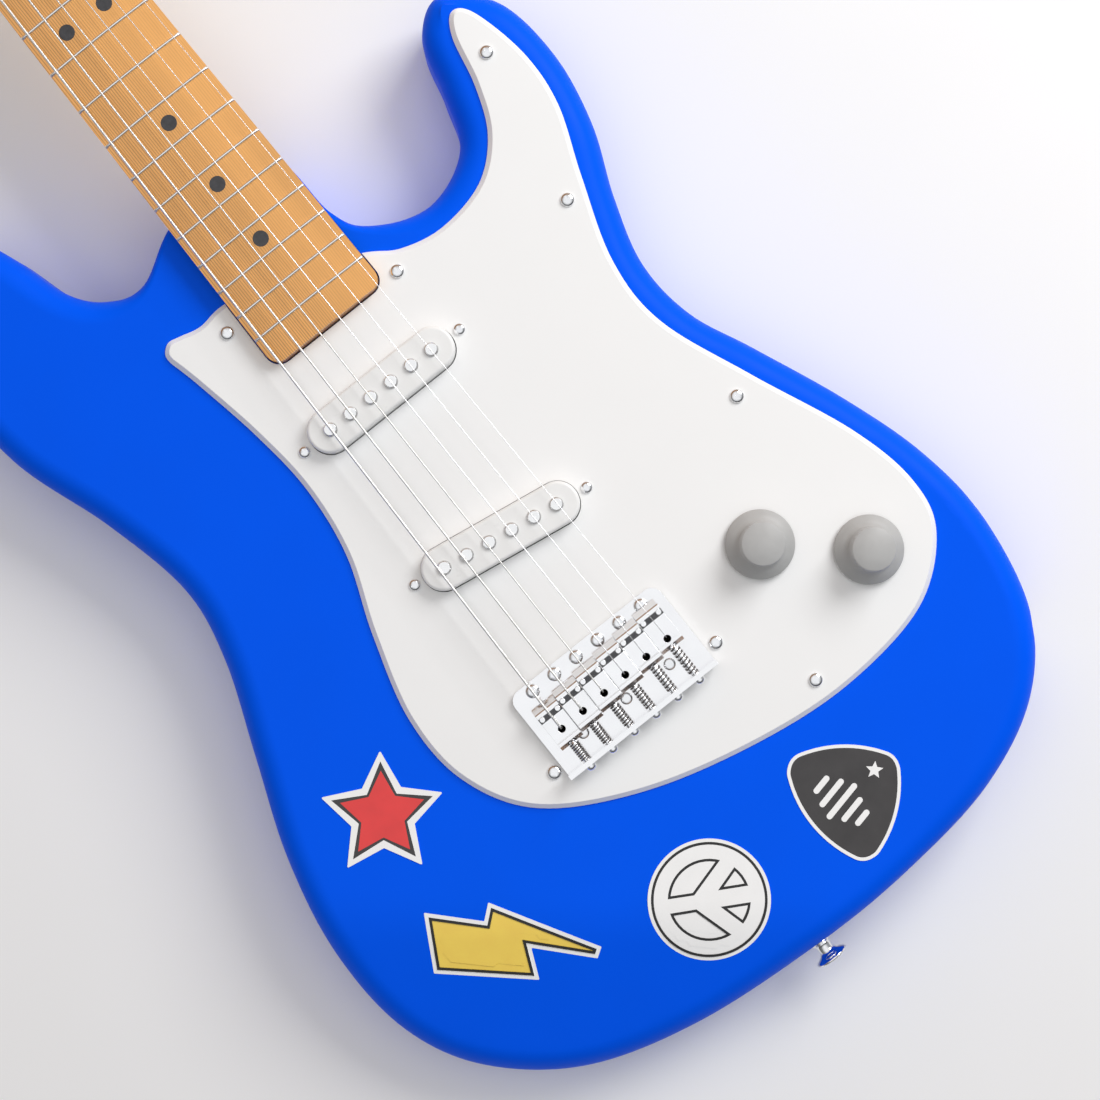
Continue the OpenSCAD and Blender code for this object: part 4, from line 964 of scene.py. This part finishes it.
def printed(outline, material, holes=()):
    """One colour of a sticker, over the front of the body and its forearm contour.
    Colours lie side by side, so each has a hole where the next one is."""
    def lift(p):
        return -contour_drop(p)

    outline, holes = divided(outline, 3), [divided(h, 3) for h in holes]
    low, top = (np.full(len(outline), BODY_TOP + z) for z in (STICKER_LOW, STICKER_TOP))
    points, faces = plate(
        outline, [(0.0, low), (0.02, top)], holes, lift_top=lift, lift_bottom=lift,
        top_grid=(2.5, None), bottom_grid=(2.5, None))
    return points, faces, material


def nested(outlines):
    """Rings of colour, one inside the other, and the innermost one filled."""
    return [printed(o, k, outlines[k + 1:k + 2]) for k, o in enumerate(outlines)]


def make_stickers():
    star_at = np.array([-108.3, 4.6])
    star = nested([
        filleted(star_points(26.4, 0.52), 0.4, 3) + star_at, star_points(22, 0.475) + star_at,
        star_points(18.2, 0.515) + star_at])
    add_sticker("sticker_star", star, ["vinyl_white", "vinyl_dark", "vinyl_red"])
    bolt_points = [
        (-120, -39), (-132, -60), (-101, -88), (-95, -75), (-76, -96), (-73, -94), (-97, -52), (-103, -57)]
    bolt = nested([inflate(bolt_points, grow, r) for grow, r in ((0.9, 0.4), (-0.7, 0.1), (-1.9, 0.1))])
    add_sticker("sticker_bolt", bolt, ["vinyl_white", "vinyl_black", "vinyl_yellow"])
    add_sticker("sticker_peace", peace_layers(np.array([-25, -106.5])), ["vinyl_white", "vinyl_black"])
    add_sticker("sticker_pick", pick_layers(), ["vinyl_white", "vinyl_dark"])


def peace_layers(at):
    """A white disc with a thin black ring, and a thin black outline round each of four openings."""
    disc_r, ring_r, line, opening_r, foot = 25.4, 24.0, 1.1, 17.1, -29.5

    def opening(corner, first, last, mirror):
        """Outline of an opening from its inner corner, with its arc from the first to the last angle."""
        a = np.radians(np.linspace(first, last, int(abs(last - first) / 7) + 1))
        points = np.concatenate([[corner], heading(a) * opening_r])
        if mirror:
            points = points[::-1] * [1, -1]
        return points if area(points) > 0 else points[::-1]

    rims, parts = [], []
    for corner, first, last in (((-5.8, 2.9), 66, 170), ((4.1, 3.4), 44, 11.5)):
        for mirror in (False, True):
            shape = opening(corner, first, last, mirror)
            rim, hole = (turned(inflate(shape, -inset, 0), foot) + at for inset in (0.02, line))
            rims.append(rim)
            parts += [printed(rim, 1, [hole]), printed(hole, 0)]
    disc, ring, face = circle(disc_r, at, 96), circle(ring_r, at, 96), circle(ring_r - line, at, 90)
    return parts + [printed(disc, 0, [ring]), printed(ring, 1, [face]), printed(face, 0, rims)]


def pick_layers():
    """A dark pick with a white rim, a small star near its tip and a row of level bars."""
    centres = [np.array(c, float) for c in ((27, -86), (27, -131), (78, -108))]
    middle, r = sum(centres) / 3, PICK_R - PICK_CORNER
    offsets = [middle - c for c in centres]

    def outline(inset):
        """Where three circles overlap, with the corners rounded."""
        core = np.array([
            middle + way * min(math.sqrt((d @ way) ** 2 - (d @ d - r * r)) - d @ way for d in offsets)
            for way in heading(np.arange(0, 2 * math.pi, math.pi / 90))])
        return np.array([
            core[np.argmax(core @ way)] + way * (PICK_CORNER - inset)
            for way in heading(np.arange(0, 2 * math.pi, math.pi / 60))])

    marks = [turned(star_points(3.8, 0.45), -8) + middle + np.array([17.5, 1.5])]
    row = heading(math.radians(-77.5))
    across = np.array([-row[1], row[0]])
    for k, length in enumerate((6.5, 12, 16, 10, 5.5)):
        at = middle + row * (k - 2) * 5.4 - across * 1.0
        marks.append(bar(at - across * length / 2, at + across * length / 2, 2.5))
    rim, face = outline(0.1), outline(1.5)
    return [printed(rim, 0, [face]), printed(face, 1, marks)] + [printed(mark, 0) for mark in marks]


def lay_flat(piece):
    """Gives a sticker's face the normals of the contour under it, and its sides their own."""
    mesh, step, normals = piece.data, 0.1, []
    for face in mesh.polygons:
        for loop in face.loop_indices:
            if face.normal.z < 0.5:
                normals.append(tuple(face.normal))
                continue
            x, y = (mesh.vertices[mesh.loops[loop].vertex_index].co / MM)[:2]
            drop = contour_drop(np.array([(x - step, y), (x + step, y), (x, y - step), (x, y + step)]))
            normals.append(tuple(unit(np.array([drop[1] - drop[0], drop[3] - drop[2], 2 * step]))))
    mesh.normals_split_custom_set(normals)


def add_sticker(name, parts, materials):
    points, faces, index = joined(parts)
    piece = new_piece(name, points, faces, [M[m] for m in materials], index, sharp=20)
    lay_flat(piece)
    finish_piece(piece, "guitar", "stickers")


# ---------------------------------------------------------------- CAD nodes that stay, and the floor
KEPT = {  # material: {CAD node: radius of its rounded edges in millimetres}
    "chrome": {
        "pickguard_screws": 0.0, "string_tree": 0.2, "neck_plate": 0.3, "neck_bolts": 0.15,
        "strap_buttons": 0.0, "back_cover_screws": 0.1, "pickup_screws": 0.0, "output_jack": 0.2,
        "jack_plate": 0.25, "pivot_screws": 0.0, "block_screws": 0.0, "intonation_screws": 0.0,
        "tuner_housings": 0.5, "tuner_bushings": 0.25, "tuner_screws": 0.0,
        **{f"tuner_post_{k}": 0.12 for k in range(1, 7)},
        **{f"tuner_button_{k}": 0.5 for k in range(1, 7)},
    },
    "plate": {"bridge_plate": 0.25, **{f"saddle_{k}": 0.12 for k in range(1, 7)}},
    "steel": {"truss_rod": 0.2, "pot_housings": 0.15, "spring_claw": 0.2, "claw_screws": 0.0},
    "brass": {"volume_pot_shaft": 0.2, "tone_pot_shaft": 0.2},
    "dot": {"fret_markers": 0.08}, "bone": {"nut": 0.25}, "guard": {"back_cover": 0.3},
    "coil": {"pickup_coils": 0.2}, "pole": {"pole_pieces": 0.1}, "spring": {"pickup_springs": 0.0},
    "wire": {"wiring_loom": 0.0}, "cast": {"inertia_block": 0.4},
}


def refine(name, material, bevel):
    """Gives a kept CAD node its finish, and rounds its edges without touching its mesh."""
    node = NODES[name]
    if not node.material_slots:
        node.data.materials.append(material)
    for slot in node.material_slots:
        slot.link = "OBJECT"
        slot.material = material
    weld = node.modifiers.new("weld", "WELD")
    weld.merge_threshold = 2e-6
    if bevel:
        flat = node.modifiers.new("flat", "DECIMATE")
        flat.decimate_type = "DISSOLVE"
        flat.angle_limit = math.radians(0.6)
        edge = node.modifiers.new("edge", "BEVEL")
        edge.width = bevel * MM
        edge.segments = 2
        edge.limit_method = "ANGLE"
        edge.angle_limit = math.radians(38)
        edge.use_clamp_overlap = True
    weigh_normals(node)


def add_floor():
    """A wide pale floor in metres, a hair under the guitar's back."""
    corners = rectangle((12, 12))
    mesh = bpy.data.meshes.new("floor")
    mesh.from_pydata([(x, y, -3e-4) for x, y in corners], [], [(0, 1, 2, 3)])
    mesh.materials.append(M["floor"])
    floor = bpy.data.objects.new("floor", mesh)
    bpy.context.scene.collection.objects.link(floor)


add_camera()
add_world()
add_light("key", (1.2, 0.3, 1.0), (0.8, 0.8), 15)
bpy.context.scene.view_settings.view_transform = "Standard"
make_body()
make_pickguard()
make_covers()
make_neck()
make_board()
make_frets()
make_strings()
make_springs()
make_knobs()
make_stickers()
for finish, bevels in KEPT.items():
    for node_name, bevel in bevels.items():
        refine(node_name, M[finish], bevel)
add_floor()
